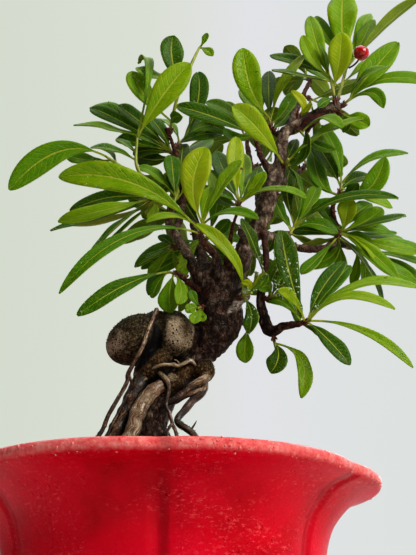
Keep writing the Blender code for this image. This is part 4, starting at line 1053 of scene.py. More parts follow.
chance = random.Random("buds")
spots = [(name, line) for name, line in zip(LIMBS, tubes) if name not in ("trunk", "broken_stub")]
places = []
for _ in range(BUDS):
    name, line = chance.choice(spots)
    index = chance.randrange(2, len(line) - 1)
    place, after = line[index], line[index + 1]
    along = (after - place).to_3d().normalized()
    aside = along.orthogonal().normalized()
    aside.rotate(Matrix.Rotation(chance.random() * math.tau, 3, along))
    out = (aside + along * SPUR_LEAN).normalized()
    size = Matrix.Scale(chance.uniform(0.6, 1.15), 4)
    stand = stood(place.to_3d() + aside * place[3] * SPUR_SEAT, out)
    places.append((chance.choice((0, 0, 1, 1, 2, THORN)), stand @ size, chance.random()))
bud_bark, tree, shader, place = new_finish("bud_bark", Specular_IOR_Level=0.25, Roughness=0.6)
shade = attribute(tree, "tone")
shade = plus(shade, minus(grain(place, 900, 4), 0.5))
link(shader, Base_Color=ramp(shade, (0.1, (26, 10, 6)), (0.5, (70, 34, 20)), (0.95, (128, 84, 54))))
buds_piece = finished("buds_and_thorns", scatter(prototypes(4, spur), places), [bud_bark])
print("buds and thorns:", len(places))

# %% [markdown]
# ### Roots
# The roots that once grew underground now show: some thick, some like pale cord, lying over each other with
# dark gaps between. Melting would close those gaps, so each root is a grid rolled into a bar along its own
# line. Its map runs along the root in metres, so the streaks of its skin follow every bend.

# %% Roll a grid into a bar
ROOT_STEP = 0.0008
# How close a bar's swellings, its lengthwise ridges (round it and along it) and its fine grain follow each other
SWELLS, RIDGES_ROUND, RIDGES_ALONG, GRAIN_SCALE = 260, 2.2, 70, 900
GRAIN_DEPTH = 0.0001


def rolled(line, sides, wrinkle, seed):
    """A bmesh bar along a line of (x, y, z, radius), its seam behind and its map in metres along and round."""
    rings = len(line) - 1
    bm = bmesh.new()
    bark_map = bm.loops.layers.uv.new("bark_map")
    bmesh.ops.create_grid(bm, x_segments=rings, y_segments=sides, size=0.5)
    rungs, run, back = [], 0.0, Vector((0, 1, 0))
    for index, place in enumerate(line):
        after = line[min(index + 1, rings)]
        along = (after - line[max(index - 1, 0)]).to_3d().normalized()
        back = (back - back.dot(along) * along).normalized()
        swell = 1 + wrinkle * noise.noise(Vector((run * SWELLS, seed, 0)))
        rungs.append((place.to_3d(), back, along.cross(back), place[3] * swell, run))
        run += (after - place).to_3d().length
    spread = {}
    for vert in bm.verts:
        turn = vert.co.y + 0.5
        centre, right, left, radius, run = rungs[round((vert.co.x + 0.5) * rings)]
        out = right * math.cos(turn * math.tau) + left * math.sin(turn * math.tau)
        ridge = noise.noise(Vector((out.x * RIDGES_ROUND, out.y * RIDGES_ROUND + seed, run * RIDGES_ALONG)))
        vert.co = centre + out * radius * (1 + wrinkle * ridge)
        vert.co += out * noise.noise(vert.co * GRAIN_SCALE) * GRAIN_DEPTH
        spread[vert] = (run, turn * math.tau * radius)
    for face in bm.faces:
        for loop in face.loops:
            loop[bark_map].uv = spread[loop.vert]
    bmesh.ops.remove_doubles(bm, verts=bm.verts, dist=SAME_POINT)
    bmesh.ops.holes_fill(bm, edges=bm.edges, sides=0)
    bmesh.ops.recalc_face_normals(bm, faces=bm.faces)
    return bm


print("a root's rings lie", ROOT_STEP / MM, "mm apart")

# %% The roots, each with how pale it is at its top and at the soil
PALE = {
    "thin_front": ((190, 0.4), (173, 0.5), (166, 0.32), (150, 0.2), (127, 0.15)),
    "thin_middle": ((158, 0.95), (151.5, 0.8), (147.5, 0.25), (127, 0.2)), "pale_bow": ((160, 0.9),),
    "pale_upper": ((158, 0.75), (151, 0.65), (148, 0.1), (140, 0.0)),
    "pale_lower": ((158, 0.5), (149, 0.5), (145.5, 0.05), (126, 0.0)),
    "thick_front": ((152, 0.4), (148, 0.5), (141, 0.75), (132, 0.65), (118, 0.4)),
    "thick_left": ((160, 0.1), (140, 0.22), (125, 0.28)), "second_fork": ((150, 0.6), (146, 0.45), (143.5, 0.1)),
    "foot_split": ((134, 0.2),), "spur": ((134, 0.05),), "left_split": ((158, 0.4), (145, 0.15)),
    "knob_cord": ((160, 0.7),),
}
DULL_ROOT = ((150, 0.12), (110, 0.1))
THICK_ROOT = 0.0015
ROOT_SIDES = {True: 20, False: 12}
WRINKLE = 0.16
TAPERED_START = 0.6
SEED_STEP = 7.3
roots = bmesh.new()
pale_layer = roots.verts.layers.float.new("pale")
every_root = [*ROOTS.items(), *((name, (places, None)) for name, places in ROOTLETS.items())]
for index, (name, (places, peg)) in enumerate(every_root):
    line = smooth_line(sized(places) + (peg_line(peg, PEG_TOP) if peg else []), ROOT_STEP)
    line[0][3] *= TAPERED_START
    thick = max(place[3] for place in line) > THICK_ROOT
    start = len(roots.verts)
    absorb(roots, mesh_of("bar", rolled(line, ROOT_SIDES[thick], WRINKLE, index * SEED_STEP)))
    roots.verts.ensure_lookup_table()
    for vert in roots.verts[start:]:
        vert[pale_layer] = read_off(PALE.get(name, DULL_ROOT), vert.co.z / MM)
print("roots:", len(every_root), "with", len(roots.faces), "faces")

# %% Root material
root_skin, tree, shader, place = new_finish("root_skin", Specular_IOR_Level=0.45, Coat_Weight=0.35,
                                            Coat_Roughness=0.2)
pale = attribute(tree, "pale")
flat = put(tree, "UVMap", {"uv_map": "bark_map"}).outputs[0]
streaks = stretched(flat, (90, 800, 1))
streak = grain(streaks, 1.0, 5, 0.65)
rings = grain(stretched(flat, (900, 150, 1)), 1.0, 3, 0.5)
speck = grain(place, 1100, 4, 0.6)
light_root = ramp(streak, (0.28, (84, 64, 36)), (0.46, (152, 130, 92)), (0.64, (204, 188, 152)))
dark_root = ramp(streak, (0.34, (13, 7, 3)), (0.5, (46, 30, 17)), (0.66, (108, 84, 58)))
# The palest stop of tan_root is near white: painted highlight of wet skin
tan_root = ramp(streak, (0.3, (46, 22, 9)), (0.46, (116, 80, 46)), (0.58, (176, 146, 112)), (0.7, (236, 226, 208)))
blotch = times(minus(grain(place, 300, 5, 0.75), 0.5), 2.4)
pale = plus(pale, blotch)
colour = blend(between(pale, 0.1, 0.5), dark_root, tan_root)
colour = blend(between(pale, 0.5, 0.9), colour, light_root)
rust = between(grain(place, 150, 4, 0.6), 0.48, 0.62, 0.0, 0.32)
colour = blend(rust, colour, (92, 48, 22))
# Painted highlight: near-white glints along the streaks of the paler roots, for light on wet skin
painted_root_glint = between(grain(streaks, 1.7, 4, 0.7), 0.54, 0.64)
painted_root_glint = times(painted_root_glint, between(pale, 0.35, 0.75, 0.05, 0.75))
colour = blend(painted_root_glint, colour, (238, 230, 218))
colour = blend(between(speck, 0.54, 0.68, 0.0, 0.75), colour, (30, 16, 8))
colour = blend(between(rings, 0.62, 0.72, 0.0, 0.5), colour, (44, 26, 12))
occlusion_shade = attribute(tree, "occlusion_shade")
# Painted shade: darker where short rays from a point meet other wood
colour = blend(between(occlusion_shade, 0.15, 0.75, 0.0, 0.92), colour, (8, 5, 2))
link(shader, Base_Color=colour, Roughness=between(speck, 0.35, 0.65, 0.25, 0.6))
relief = plus(streak, times(speck, 0.6))
relief = minus(relief, times(between(rings, 0.6, 0.72), 0.4))
link(shader, Normal=bump(relief, 0.0007, 0.9))
roots_piece = finished("bare_roots", roots, [root_skin])
close_in([wood_piece, roots_piece])
print("roots finished")

# %% [markdown]
# ### Moss
# Short moss stands in dark fringes on the knob's left shoulder and top, and greener where roots meet and stay
# wet. Each tuft is a few thin cones leaning apart, copied onto random points of the wood and the roots within
# a patch: a few thousand faces give an edge that a flat colour couldn't.

# %% Moss tufts: (x, z, near), radius of the patch, number of tufts, tone
MOSSY = [
    ((-27, 177, 4), 5, 46, 0.0),
    ((-21, 182.5, 3), 6, 50, 0.15),
    ((-12, 186.5, 3), 7, 50, 0.3),
    ((-3, 188.5, 3), 6, 40, 0.4),
    ((6, 187, 2), 5, 24, 0.3),
    ((-8, 157.5, 9), 5, 60, 0.6),
    ((-2, 156.5, 9), 3, 24, 0.7),
    ((21, 160, 4), 4.5, 60, 0.6),
    ((9, 132.6, 9), 4, 40, 0.8),
    ((-28, 126.5, 8), 5, 60, 0.9),
    ((3, 128, 8), 5, 30, 0.6),
    ((16, 126.5, 9), 4, 24, 0.7),
    ((36, 191.5, 11), 2.4, 24, 1.0),
    ((-12, 148, 8), 4, 16, 0.5),
]
BLADES = 5
BLADE_RADIUS = 0.00011
BLADE_HEIGHT = 0.0007
TUFT_SHAPES = 4
# How far a tuft turns from the wood's face to the light above
TUFT_RISE = Vector((0, 0, 0.5))


def tuft(bm, index):
    """A few thin cones that lean apart from one foot, a millimetre tall or less."""
    draw = random.Random(index)
    for blade in range(BLADES):
        turn = spun(math.tau * blade / BLADES + draw.random()) @ leant(draw.uniform(8, 42))
        tall = BLADE_HEIGHT * draw.uniform(0.5, 1.2)
        bmesh.ops.create_cone(bm, segments=3, radius1=BLADE_RADIUS, radius2=0, depth=tall,
                              matrix=turn @ Matrix.Translation((0, 0, tall * 0.4)))


moss_spots = [(vert.co.copy(), vert.normal.copy())
              for piece in (wood_piece, roots_piece) for vert in piece.data.vertices]
near_spot = finder([spot for spot, _ in moss_spots])
chance = random.Random("moss")
places = []
for (x, z, near), radius, count, shade in MOSSY:
    found = [index for _, index, _ in near_spot.find_range(seen(x, z, near), radius * MM)]
    for index in chance.sample(found, min(count, len(found))):
        spot, out = moss_spots[index]
        size = Matrix.Scale(chance.uniform(0.6, 1.3), 4)
        stand = stood(spot, (out + TUFT_RISE).normalized())
        places.append((chance.randrange(TUFT_SHAPES), stand @ size, shade + chance.uniform(-0.2, 0.2)))
moss_green, tree, shader, place = new_finish("moss", Specular_IOR_Level=0.2, Roughness=0.8)
shade = attribute(tree, "tone")
shade = plus(shade, times(minus(grain(place, 900), 0.5), 0.6))
link(shader, Base_Color=ramp(shade, (0.1, (10, 12, 3)), (0.5, (42, 50, 14)), (0.95, (92, 110, 36))))
moss_piece = finished("moss_tufts", scatter(prototypes(TUFT_SHAPES, tuft), places), [moss_green])
print("moss tufts:", len(places))

# %% [markdown]
# ## Leaves
# A firethorn leaf is leathery, 2 to 7 cm long, widest past its middle, with a blunt tip, a sunken pale
# midrib and tiny teeth along its edge. Leaves sit in sprays round the ends of the shoots. The front sprays are
# placed leaf by leaf, as the photograph shows them. The ones behind follow a rule, because nothing shows them.

# %% Shoots and leaves of the front
# Shoot: (x, z, near). Leaf: (x, z) of its foot, middle and tip, then width, turn, how near the tip is, and for
# some the tone, from 0, old and dark, to 1, young and yellow-green; it is partly the leaf's age and partly
# painted shade on leaves that lie in the crown's shadow.
SPRAYS = {
    "left_far": ([(-20, 264, 10), (-27, 269, 11), (-33, 273.5, 12)],
        [(-33, 273.5, -57.5, 276, -81.5, 254.5, 14, 12, 14, 0.5), (-27, 269, -31, 276, -38, 280, 6, 60, 4)]),
    "left_upright": ([(-12.5, 259, 10.5), (-17, 269, 13), (-17, 284, 14)],
        [(-17, 284, -5, 307, 10, 329, 15, 12, 24, 0.75), (-17, 274, -22, 280, -27.5, 283.5, 6, 60, 8),
        (-16.5, 270, -28, 277, -41, 279, 7, 60, 3, 0.3)]),
    "left_back": ([(3, 271, -15), (-2, 281, -17)], [(-2, 281, -15, 293, -27.5, 303.5, 10, 35, -18, 0.2),
        (-1, 279, -22, 295, -42.5, 303.5, 12, 45, -24), (0, 277, -24, 287.5, -50.3, 293, 8, 76, -14, 0.6),
        (1, 275, -9, 277, -19, 275, 9, 40, -20, 0.05), (3, 271.5, 12, 276, 22, 283, 8, 40, -22)]),
    "left_inner": ([(2.5, 246.5, -0.5), (5, 254, -5)], [(5, 252, 2, 263, 1, 274, 10, 20, -6, 0.3),
        (5, 253, -6, 262, -16, 268, 8, 50, -8), (4, 250, 12, 262, 16, 275, 9, 30, -12)]),
    "top_left": ([(-1.8, 291, 8), (4, 309, 7), (11, 328, 6), (15.3, 338.5, 5)],
        [(4, 309, 1, 330, 1, 346, 13, 20, 12, 0.15), (4, 311, -8, 321, -18, 327, 8, 55, 4),
        (0, 296, -13.5, 309.5, -20.5, 324.5, 12, 30, 2), (15, 337, 18, 343, 19, 347.5, 4, 40, 6),
        (14.5, 336, 19, 337, 22.5, 333.5, 5, 30, 8), (-1, 293, 2, 296, 6, 296, 7, 20, 12, 0.35)]),
    "top_left_back": ([(8, 278, -20), (11, 287, -21)], [(11, 287, 14.5, 305, 14.5, 323.5, 11, 15, -18, 0.15),
        (10, 284, 18, 290, 23, 299, 8, 40, -26), (9, 281, 0, 292, -12, 296, 8, 60, -28)]),
    "centre_front": ([(16.3, 228, 18), (17, 236.5, 21)], [(16, 231, -17, 257.5, -57, 262, 14, 12, 30, 0.72),
        (16, 230, -19, 229.5, -54, 199, 7, 35, 34), (17, 236, 12.5, 257, 19, 279, 15, 6, 30, 0.86),
        (17, 235.5, 27, 257, 37, 271, 8.5, 40, 25, 0.7), (16.3, 232, 3, 240, -11.5, 236.5, 5, 50, 24),
        (17, 235, 29, 242, 45.5, 239, 6, 60, 36, 0.5)]),
    "left_low": ([(-7.2, 249, 3), (-12, 249, 1)], [(-11, 249, -31, 243.5, -56, 237, 9, 35, 8, 0.72),
        (-11.5, 249, -32, 240, -60, 233, 7, 60, -8, 0.25), (-10, 249, -24.5, 236, -39, 220, 7, 74, 12, 0.3),
        (-9, 249, -7, 243, -11, 239, 5, 20, 6, 0.7), (-12, 249, -24, 253, -37, 250, 8, 55, -12, 0.2)]),
    "left_hanging": ([(5, 208.2, 8), (0, 209.5, 8)], [(0, 209.5, -21, 202.5, -44, 186.5, 9, 28, 14),
        (3, 209, 1, 199, 1.5, 188, 11, 20, 3), (3.5, 208.7, 6.6, 201, 5, 192.5, 7.6, 30, 12),
        (1, 209.3, -6, 205, -9, 197, 8, 30, -5), (3, 209, 6, 212, 8, 217, 5, 30, 2)]),
    "inner_left": ([(4.5, 223.3, 3), (0, 222, 0)], [(1, 222, -7, 219, -17, 212.5, 5, 60, 0, 0.2),
        (2, 222.5, -4, 215, -10, 208, 6, 40, -6), (3, 223, 0, 226, -5, 229, 5, 30, -6),
        (2, 222.5, 4, 215, 10, 209, 7, 40, -8)]),
    "inner_back": ([(17.5, 224, -21), (20, 230, -22)], [(19, 227, 26, 218, 31, 208, 9, 30, -20),
        (19, 228, 28, 229, 37, 226, 8, 50, -26), (20, 229, 11, 222, 7, 212, 8, 40, -28),
        (20, 230, 24, 243, 25, 256, 9, 25, -24)]),
    "centre_upright": ([(35.3, 244.6, 16.5), (35.5, 249, 18)],
        [(35.5, 249, 33.8, 267, 35, 284.5, 9.5, 14, 20, 0.85), (35.4, 247, 29, 251.5, 22, 253, 7, 45, 10, 0.45),
        (35.4, 247.5, 43, 255, 49, 265, 7.5, 30, 24, 0.7), (35.3, 246.5, 52, 255, 70, 250, 7, 74, 28, 0.6)]),
    "fork": ([(61, 268.5, 9), (61.5, 272, 11)], [(61, 270, 47, 288, 33, 303, 13, 15, 23, 0.8),
        (61.5, 271.5, 78, 286, 101, 296, 9, 62, 20, 0.65), (61.3, 270, 69, 272, 71.5, 287, 8, 60, 14, 0.15)]),
    "centre_back": ([(45.1, 282.5, -4.3), (43.5, 288, -6)], [(44, 286, 25, 295.5, 3, 303, 11, 32, -3, 0.15),
        (43.5, 288, 32, 299, 19, 305.5, 9, 40, -14), (44, 287, 47, 299, 44, 312, 8, 40, -20)]),
    "centre_top": ([(52.7, 290, -1), (52, 296, -1)], [(52, 296, 42.5, 314, 39, 338.5, 15, 8, 6, 0.72),
        (52.3, 294, 60, 317, 72.5, 334, 9, 55, 8, 0.8), (52.2, 295, 44, 302, 37, 313, 8, 45, -8),
        (52.5, 292, 60, 300, 65, 311, 8, 30, -6), (52, 295.5, 52, 310, 52, 324, 9, 15, -14, 0.1)]),
    "young_shoot": ([(66.5, 294.3, 3), (67.5, 298, 4)], [(67.2, 297, 70, 304, 64, 312, 5, 30, 8, 0.97),
        (67.4, 297, 72, 301, 74, 305, 4, 40, 8, 0.95)]),
    "crown_front": ([(86.5, 305, 5), (86, 312, 7), (84.5, 321, 8)],
        [(86, 312, 90, 329, 92, 348, 13, 10, 18, 0.85), (85, 318, 79, 338, 75, 359, 9.5, 15, 1, 0.7),
        (84.7, 320, 76, 331, 71, 346, 8, 30, 6), (84.6, 320, 69, 329, 53, 334, 8, 40, 3, 0.2),
        (85, 317, 69, 321.5, 54, 325, 7, 70, 14, 0.15), (84.5, 321, 83, 331, 80, 341, 6, 70, 12, 0.4),
        (86.3, 307, 82, 306, 78, 302, 5, 30, 10)]),
    "crown_right": ([(91.5, 304, 3), (95.5, 308, 5)], [(94, 306.5, 105, 321, 122, 342, 13.5, 25, 10, 0.62),
        (94.5, 307, 101, 319, 115, 327, 8, 68, 20, 0.55), (95.3, 308, 116, 319.5, 140, 316, 8.5, 42, 8, 0.56),
        (93, 305.5, 106, 311, 112, 302, 7, 40, 14)]),
    "crown_back": ([(88, 306, 1), (92, 320, -4), (95, 332, -6)], [(95, 332, 92.5, 352, 94, 373, 17, 6, -8, 0.7),
        (94.8, 331, 103, 343, 109, 356, 10, 48, -6, 0.6), (94.5, 330, 113, 350, 135, 371, 10, 125, -2, 0.55),
        (91.5, 317, 80, 322, 69, 332, 8, 40, -16), (92, 319, 104, 328, 116, 333, 8, 50, -18)]),
    "limb_side": ([(68, 288, 6), (70, 285, 8)], [(69.5, 286, 80, 296, 90, 290, 7, 74, 18),
        (69, 287, 76, 280, 86, 277, 7, 45, 14)]),
    "limb_end": ([(88, 299.3, 4), (91.5, 297.3, 5)], [(91.5, 298, 97, 295, 104, 291, 10, 20, 8),
        (91, 299, 92.5, 293, 90, 287.5, 6, 30, 2)]),
    "right_upper": ([(87, 252.2, -15), (88.2, 258, -15)], [(88.2, 257, 86.5, 275, 79, 292, 8.5, 28, -18, 0.5),
        (88, 256, 82, 270, 74.5, 283, 11, 20, -27, 0.12), (88.2, 258, 103, 271.5, 123.5, 276, 7, 52, -10),
        (87.5, 254, 102, 255, 111, 273.5, 12, 22, -5), (87.3, 253, 92, 253, 97, 258, 7.5, 10, -2, 0.18),
        (87.8, 255.5, 101, 250.5, 114, 245, 7.5, 50, -20, 0.7)]),
    "right_middle": ([(60, 228, -7.5), (64.5, 236, -13)], [(64.5, 236, 88, 249.5, 117, 250, 7, 50, -6, 0.2),
        (64, 235.5, 71.5, 247, 75.5, 257, 8, 30, -20), (64.5, 235.8, 79, 235.5, 90, 229, 7.5, 55, -22),
        (64.4, 236, 67.5, 252, 62, 267, 7, 66, -8, 0.3), (63.5, 234, 59, 238, 54.5, 240, 5, 30, -18)]),
    "right_front": ([(84.5, 227.6, -12), (87.5, 232, -10)], [(87, 231, 90, 240, 91, 250, 10.5, 10, -3, 0.8),
        (87.5, 232, 98, 236, 108.5, 244, 11, 28, -8, 0.6), (86.5, 230.5, 99, 224, 106.5, 212, 7.5, 45, 2, 0.8),
        (85, 228.5, 97.5, 215, 107, 193, 6.5, 74, 6, 0.2), (85, 228.5, 74, 216, 66, 208.5, 7.5, 40, -4, 0.45),
        (87.3, 231.5, 104, 236, 120, 240.5, 8, 64, 6, 0.25), (87, 231, 101, 229, 115, 231, 6.5, 50, -20)]),
    "right_far": ([(93, 222, -25), (98, 221, -29)], [(97, 221.2, 112, 213, 127, 203, 9.5, 30, -24, 0.5),
        (98, 221, 114, 225, 132, 217, 7, 50, -32), (97.5, 221, 113, 218.5, 130, 213, 6, 55, -18),
        (97.8, 221, 107, 226.5, 118, 228, 6, 50, -42), (95, 221.7, 94, 212, 91, 202, 6.5, 30, -28),
        (96, 221.5, 98, 212, 97, 202, 6.5, 30, -36)]),
    "lower_right": ([(66.8, 182.8, 12.5), (70.5, 184.5, 15)], [(68, 183.4, 60.5, 208, 57, 232, 12, 20, 26, 0.08),
        (69.5, 184, 76, 200, 88, 215, 10.5, 32, 6, 0.2), (70, 184.3, 93, 202, 127, 202, 7.5, 56, 4, 0.7),
        (70.3, 184.4, 88, 196.5, 112, 190.5, 6.5, 48, 20, 0.75),
        (67.7, 183.2, 62, 195, 54.5, 199.5, 5.5, 35, 28, 0.8),
        (70.4, 184.5, 96, 178.5, 119, 160.5, 5.5, 40, 24, 0.7),
        (69, 183.8, 77.8, 174.8, 88.5, 161.5, 9, 25, 20, 0.15)]),
    "lower_hanging": ([(52, 174, 4), (52.7, 169.8, 5)], [(52, 173, 54, 165.5, 50, 157.5, 10.5, 10, 9, 0.06),
        (52.8, 172, 65, 164, 64.5, 145, 7.5, 35, 12, 0.68)]),
    "trunk_front": ([(37, 196.5, 14), (41.5, 198.5, 19)], [(41, 198.3, 32, 218, 14, 236, 7, 28, 28, 0.8),
        (40.5, 198, 41.2, 187.5, 39.5, 177.5, 8, 15, 23, 0.12), (41.5, 198.5, 46, 203, 49, 208, 4.5, 30, 20)]),
    "trunk_right": ([(49.2, 195.5, 7), (53.5, 197, 11)], [(53, 196.8, 61, 195, 63.5, 182.5, 6.5, 20, 15, 0.15),
        (53.5, 197, 50, 202, 45, 200, 6.5, 30, 18), (53, 197, 55, 204, 60, 209.5, 6.5, 30, 8, 0.2),
        (52, 196.5, 51, 208, 56, 216, 5.5, 40, 4, 0.55)]),
    "trunk_low": ([(37, 183, -4), (39.5, 180, -4)], [(39.3, 180.3, 38, 172, 38, 162.5, 9, 10, -2, 0.58)]),
    "trunk_left": ([(17.5, 191, 9), (14.6, 190.3, 12.5)], [(15, 190.4, 12.5, 190.8, 9.4, 188.2, 5.5, 20, 13, 0.6),
        (15.2, 190.4, 14.2, 186.5, 12.8, 182.4, 6, 15, 16, 0.65),
        (15.6, 190.5, 16.6, 187, 17.4, 183.6, 5, 15, 14), (14.8, 190.3, 13.2, 195, 11.6, 200, 4.5, 20, 13)]),
    "trunk_dark": ([(48.2, 207.3, 7), (50, 209.8, 11)], [(50, 209.3, 43.5, 222, 37, 238.5, 8, 58, 22, 0.05),
        (50, 209, 56, 213, 61, 220, 6, 40, 12)]),
}
print("front sprays:", len(SPRAYS), "with", sum(len(leaves) for _, leaves in SPRAYS.values()), "leaves")

# %% Sprays behind: foot (x, z, near), heading (right, back, up), number of leaves
BACK_SPRAYS = {
    "back_low_tip": ((36, 232.8, -51.5), (0.1, 0.8, 0.6), 6),
    "back_low_side": ((40, 219, -37), (0.55, 0.62, 0.45), 5),
    "back_left_tip": ((14, 258.9, -51.5), (-0.1, 0.72, 0.68), 6),
    "back_left_side": ((9.5, 240, -38), (-0.8, 0.5, 0.2), 5),
    "back_left_inner": ((18, 222, -24), (0.2, 0.9, -0.2), 5),
    "back_middle_tip": ((39.9, 282.9, -49.5), (-0.1, 0.72, 0.68), 6),
    "back_middle_side": ((45, 268, -38), (0.6, 0.63, 0.5), 5),
    "back_right_tip": ((70.5, 268.8, -53.5), (0.1, 0.8, 0.6), 6),
    "back_right_side": ((65, 261, -38), (-0.2, 0.95, -0.1), 5),
    "back_top_tip": ((74.3, 318.8, -39.5), (-0.2, 0.6, 0.7), 5),
    "back_top_side": ((72, 308, -30), (0.68, 0.7, 0.1), 5),
    "upper_left_side": ((4, 262, -12), (-0.4, 0.8, 0.3), 5),
}
print("sprays behind:", len(BACK_SPRAYS))

# %% Leaves that fill the crown behind the ones above: as there, with the tone of each as its last number
FILLERS = {
    "trunk_front": [(41.5, 198.5, 45.2, 205.5, 49.3, 207.4, 4, 30, 17, 0.95),
        (41.2, 198.4, 40.3, 202.4, 36.6, 204, 3.4, 20, 20, 0.9),
        (41.5, 198.6, 43.4, 205, 43.2, 209.5, 2.6, 60, 18, 0.95)],
    "left_back": [(-0.8, 277.1, -10.1, 277.1, -18.9, 275.9, 8, 30, -22, 0.04),
        (0.3, 273, -6.5, 280, -16, 288.1, 8, 35, -26, 0.3),
        (-4.9, 277.1, -26.1, 294, -42.1, 302.3, 9, 30, -20, 0.2),
        (-4.9, 275.9, -19, 281.7, -27.4, 284.6, 7, 30, -16, 0.35),
        (1.4, 265.6, -7.4, 271.3, -16.8, 273.6, 10, 30, -24, 0),
        (1.3, 278.2, -4.1, 287.5, -10.5, 296.3, 8, 20, -20, 0.2)],
    "left_inner": [(3.6, 254.3, 6, 268.4, 6.9, 281.1, 9, 10, -16, 0.02),
        (1.5, 254.3, -4.5, 247, -12, 240.9, 8, 130, -14, 0.85)],
    "inner_back": [(15.9, 231, 7.7, 248.6, 0.9, 266.7, 11, 15, -14, 0),
        (17.4, 226.6, -0.1, 223.3, -16.4, 212.1, 8, 35, -10, 0.35),
        (17.4, 225.5, 1.9, 219.6, -13.4, 211.5, 7, 40, -14, 0.2),
        (17.4, 225, 5.9, 216.9, -8.9, 208.3, 7.5, 30, -18, 0.3),
        (18.4, 226.6, 25.4, 231.5, 30.5, 238.1, 8, 30, -16, 0.3),
        (17.4, 225.5, 22.9, 220.1, 29.9, 217.4, 8, 30, -20, 0.12),
        (17.4, 225, 9.9, 214.7, 6, 205.1, 7, 25, -16, 0.2)],
    "top_left_back": [(7.4, 284.6, 18.3, 291, 29.8, 286.4, 8, 25, -24, 0.35),
        (7.4, 284.6, 12.6, 289.9, 19.4, 296.9, 9, 20, -28, 0.15),
        (7.5, 277.1, 13.7, 285.2, 28.2, 287.5, 8, 25, -26, 0.2)],
    "centre_upright": [(36.2, 248.6, 29.6, 261, 24, 277.1, 10, 15, -4, 0.2),
        (36.2, 247, 29, 247, 21.4, 254.3, 8, 40, 4, 0.4), (36.7, 248.6, 42.4, 255.9, 45.6, 267.9, 9, 30, 4, 0.12),
        (36.7, 247, 38.3, 259.9, 38.5, 275.3, 8, 15, -6, 0.65),
        (36.2, 246.4, 41.2, 239.8, 47.2, 236.4, 7, 35, -8, 0.3)],
    "centre_front": [(17.4, 235.4, 18.4, 245.9, 21.9, 256.5, 6.5, 20, 19, 0.7),
        (20.9, 242, 23, 254.3, 19.9, 267.3, 8, 15, 2, 0.7)],
    "right_upper": [(86.2, 251.4, 77.7, 258.8, 74.2, 277.1, 10, 20, -30, 0.45),
        (85.1, 250.3, 76.2, 259.9, 78.7, 272.4, 11, 15, -34, 0.6),
        (86.2, 251.4, 79.4, 247, 72.7, 244.2, 7, 30, -16, 0.3),
        (86.2, 252.6, 93.7, 259.9, 104, 262.2, 8, 25, -26, 0.15)],
    "right_middle": [(64.8, 235.4, 73.9, 235.4, 85.3, 230.4, 8, 30, -10, 0.4),
        (61.7, 232.6, 67.6, 226.6, 77, 222.8, 8, 120, -22, 0.6),
        (61.8, 234.3, 56.9, 241.4, 54, 249.2, 7, 35, -14, 0.25),
        (64.4, 238.7, 60.2, 253.1, 62.6, 266.7, 9, 15, -20, 0.06),
        (62.7, 233.2, 69.5, 240.9, 77.9, 249.2, 8, 20, -24, 0.3),
        (61.7, 233.2, 54.6, 228.8, 49.9, 220.1, 7, 30, -20, 0.3)],
    "fork": [(61, 265, 67.9, 273, 72.4, 285.8, 4.5, 20, 12, 0.3),
        (60.5, 266.1, 62.3, 275.3, 66.2, 284, 6, 15, -6, 0.04),
        (60, 264.4, 54.1, 254.3, 47.3, 245.9, 6, 30, -16, 0.2)],
    "right_front": [(85.8, 231, 93.3, 228.8, 102.1, 225, 8, 45, -8, 0.5),
        (86.8, 229.9, 99.9, 221.2, 114.1, 206.7, 8, 30, 4, 0.6),
        (85.2, 228.8, 76.1, 225, 64.9, 221.2, 8, 125, -18, 0.7),
        (87.4, 233.2, 94.8, 240.9, 103.3, 247, 9, 25, -14, 0.4),
        (85.2, 228.8, 72.3, 231.5, 60.7, 232.1, 7, 30, -22, 0.2),
        (86.4, 232.1, 80.6, 239.8, 77.3, 247, 7, 20, -24, 0.3),
        (90.1, 225, 81.8, 218, 67.2, 212.6, 10, 35, -20, 0.5),
        (89.1, 224.4, 86.1, 213.7, 81.7, 202, 9, 15, -26, 0.6),
        (87.3, 229.9, 99.5, 233.2, 112, 231, 6, 35, -12, 0.45),
        (88.3, 228.8, 107.1, 223.9, 125.4, 220.1, 7, 35, -16, 0.65),
        (89.2, 226.6, 104.6, 214.7, 122.9, 205.1, 9, 40, -20, 0.55)],
    "lower_right": [(68.9, 186.3, 80.2, 200.9, 91.1, 213.1, 8, 20, 2, 0.25),
        (65.8, 181.2, 75.4, 177.6, 86.2, 168.9, 5, 50, 10, 0.15),
        (63.9, 183.7, 57.3, 193.1, 48.4, 194.1, 6, 30, 6, 0.5),
        (64.8, 180.1, 72.5, 178.1, 82.9, 170.4, 6, 60, 8, 0.06)],
    "crown_back": [(96.2, 340, 85.5, 343.1, 78.5, 358.9, 8, 20, -12, 0.5),
        (97.1, 336.9, 101.9, 348.1, 107.9, 360.8, 8, 20, -14, 0.6)],
    "left_hanging": [(-0.9, 207.8, -4.8, 203.6, -7.7, 195.7, 6, 25, 6, 0.3)],
    "left_upright": [(-6.7, 320.9, -11.5, 326.4, -18.5, 328.9, 6, 30, -6, 0.55)],
    "left_far": [(-29.6, 271.3, -42, 271.3, -53.5, 274.2, 7, 30, -5, 0.5)],
    "left_low": [(-0.4, 247.5, -29, 250.3, -50.1, 242.5, 9, 30, -12, 0.15),
        (-0.4, 245.3, -28.6, 238.1, -53.8, 235.4, 7, 120, -10, 0.75),
        (1.6, 245.3, -20.5, 235.4, -32.7, 222.3, 4.5, 60, -6, 0.3)],
    "centre_top": [(42.7, 277.1, 36.5, 284, 28.8, 289.9, 6, 30, -12, 0.4),
        (52.2, 285.8, 58, 293.4, 64.6, 302.3, 7, 20, -14, 0.3)],
    "trunk_right": [(53.4, 194.6, 56.4, 198.8, 65.4, 202, 6, 30, 4, 0.2)],
}
print("filling leaves:", sum(len(leaves) for leaves in FILLERS.values()))

# %% Usual tones of the leaves, from 0, old and dark, to 1, young and yellow-green; the sprays behind get a darker one as painted shade
FRONT_TONE = 0.45
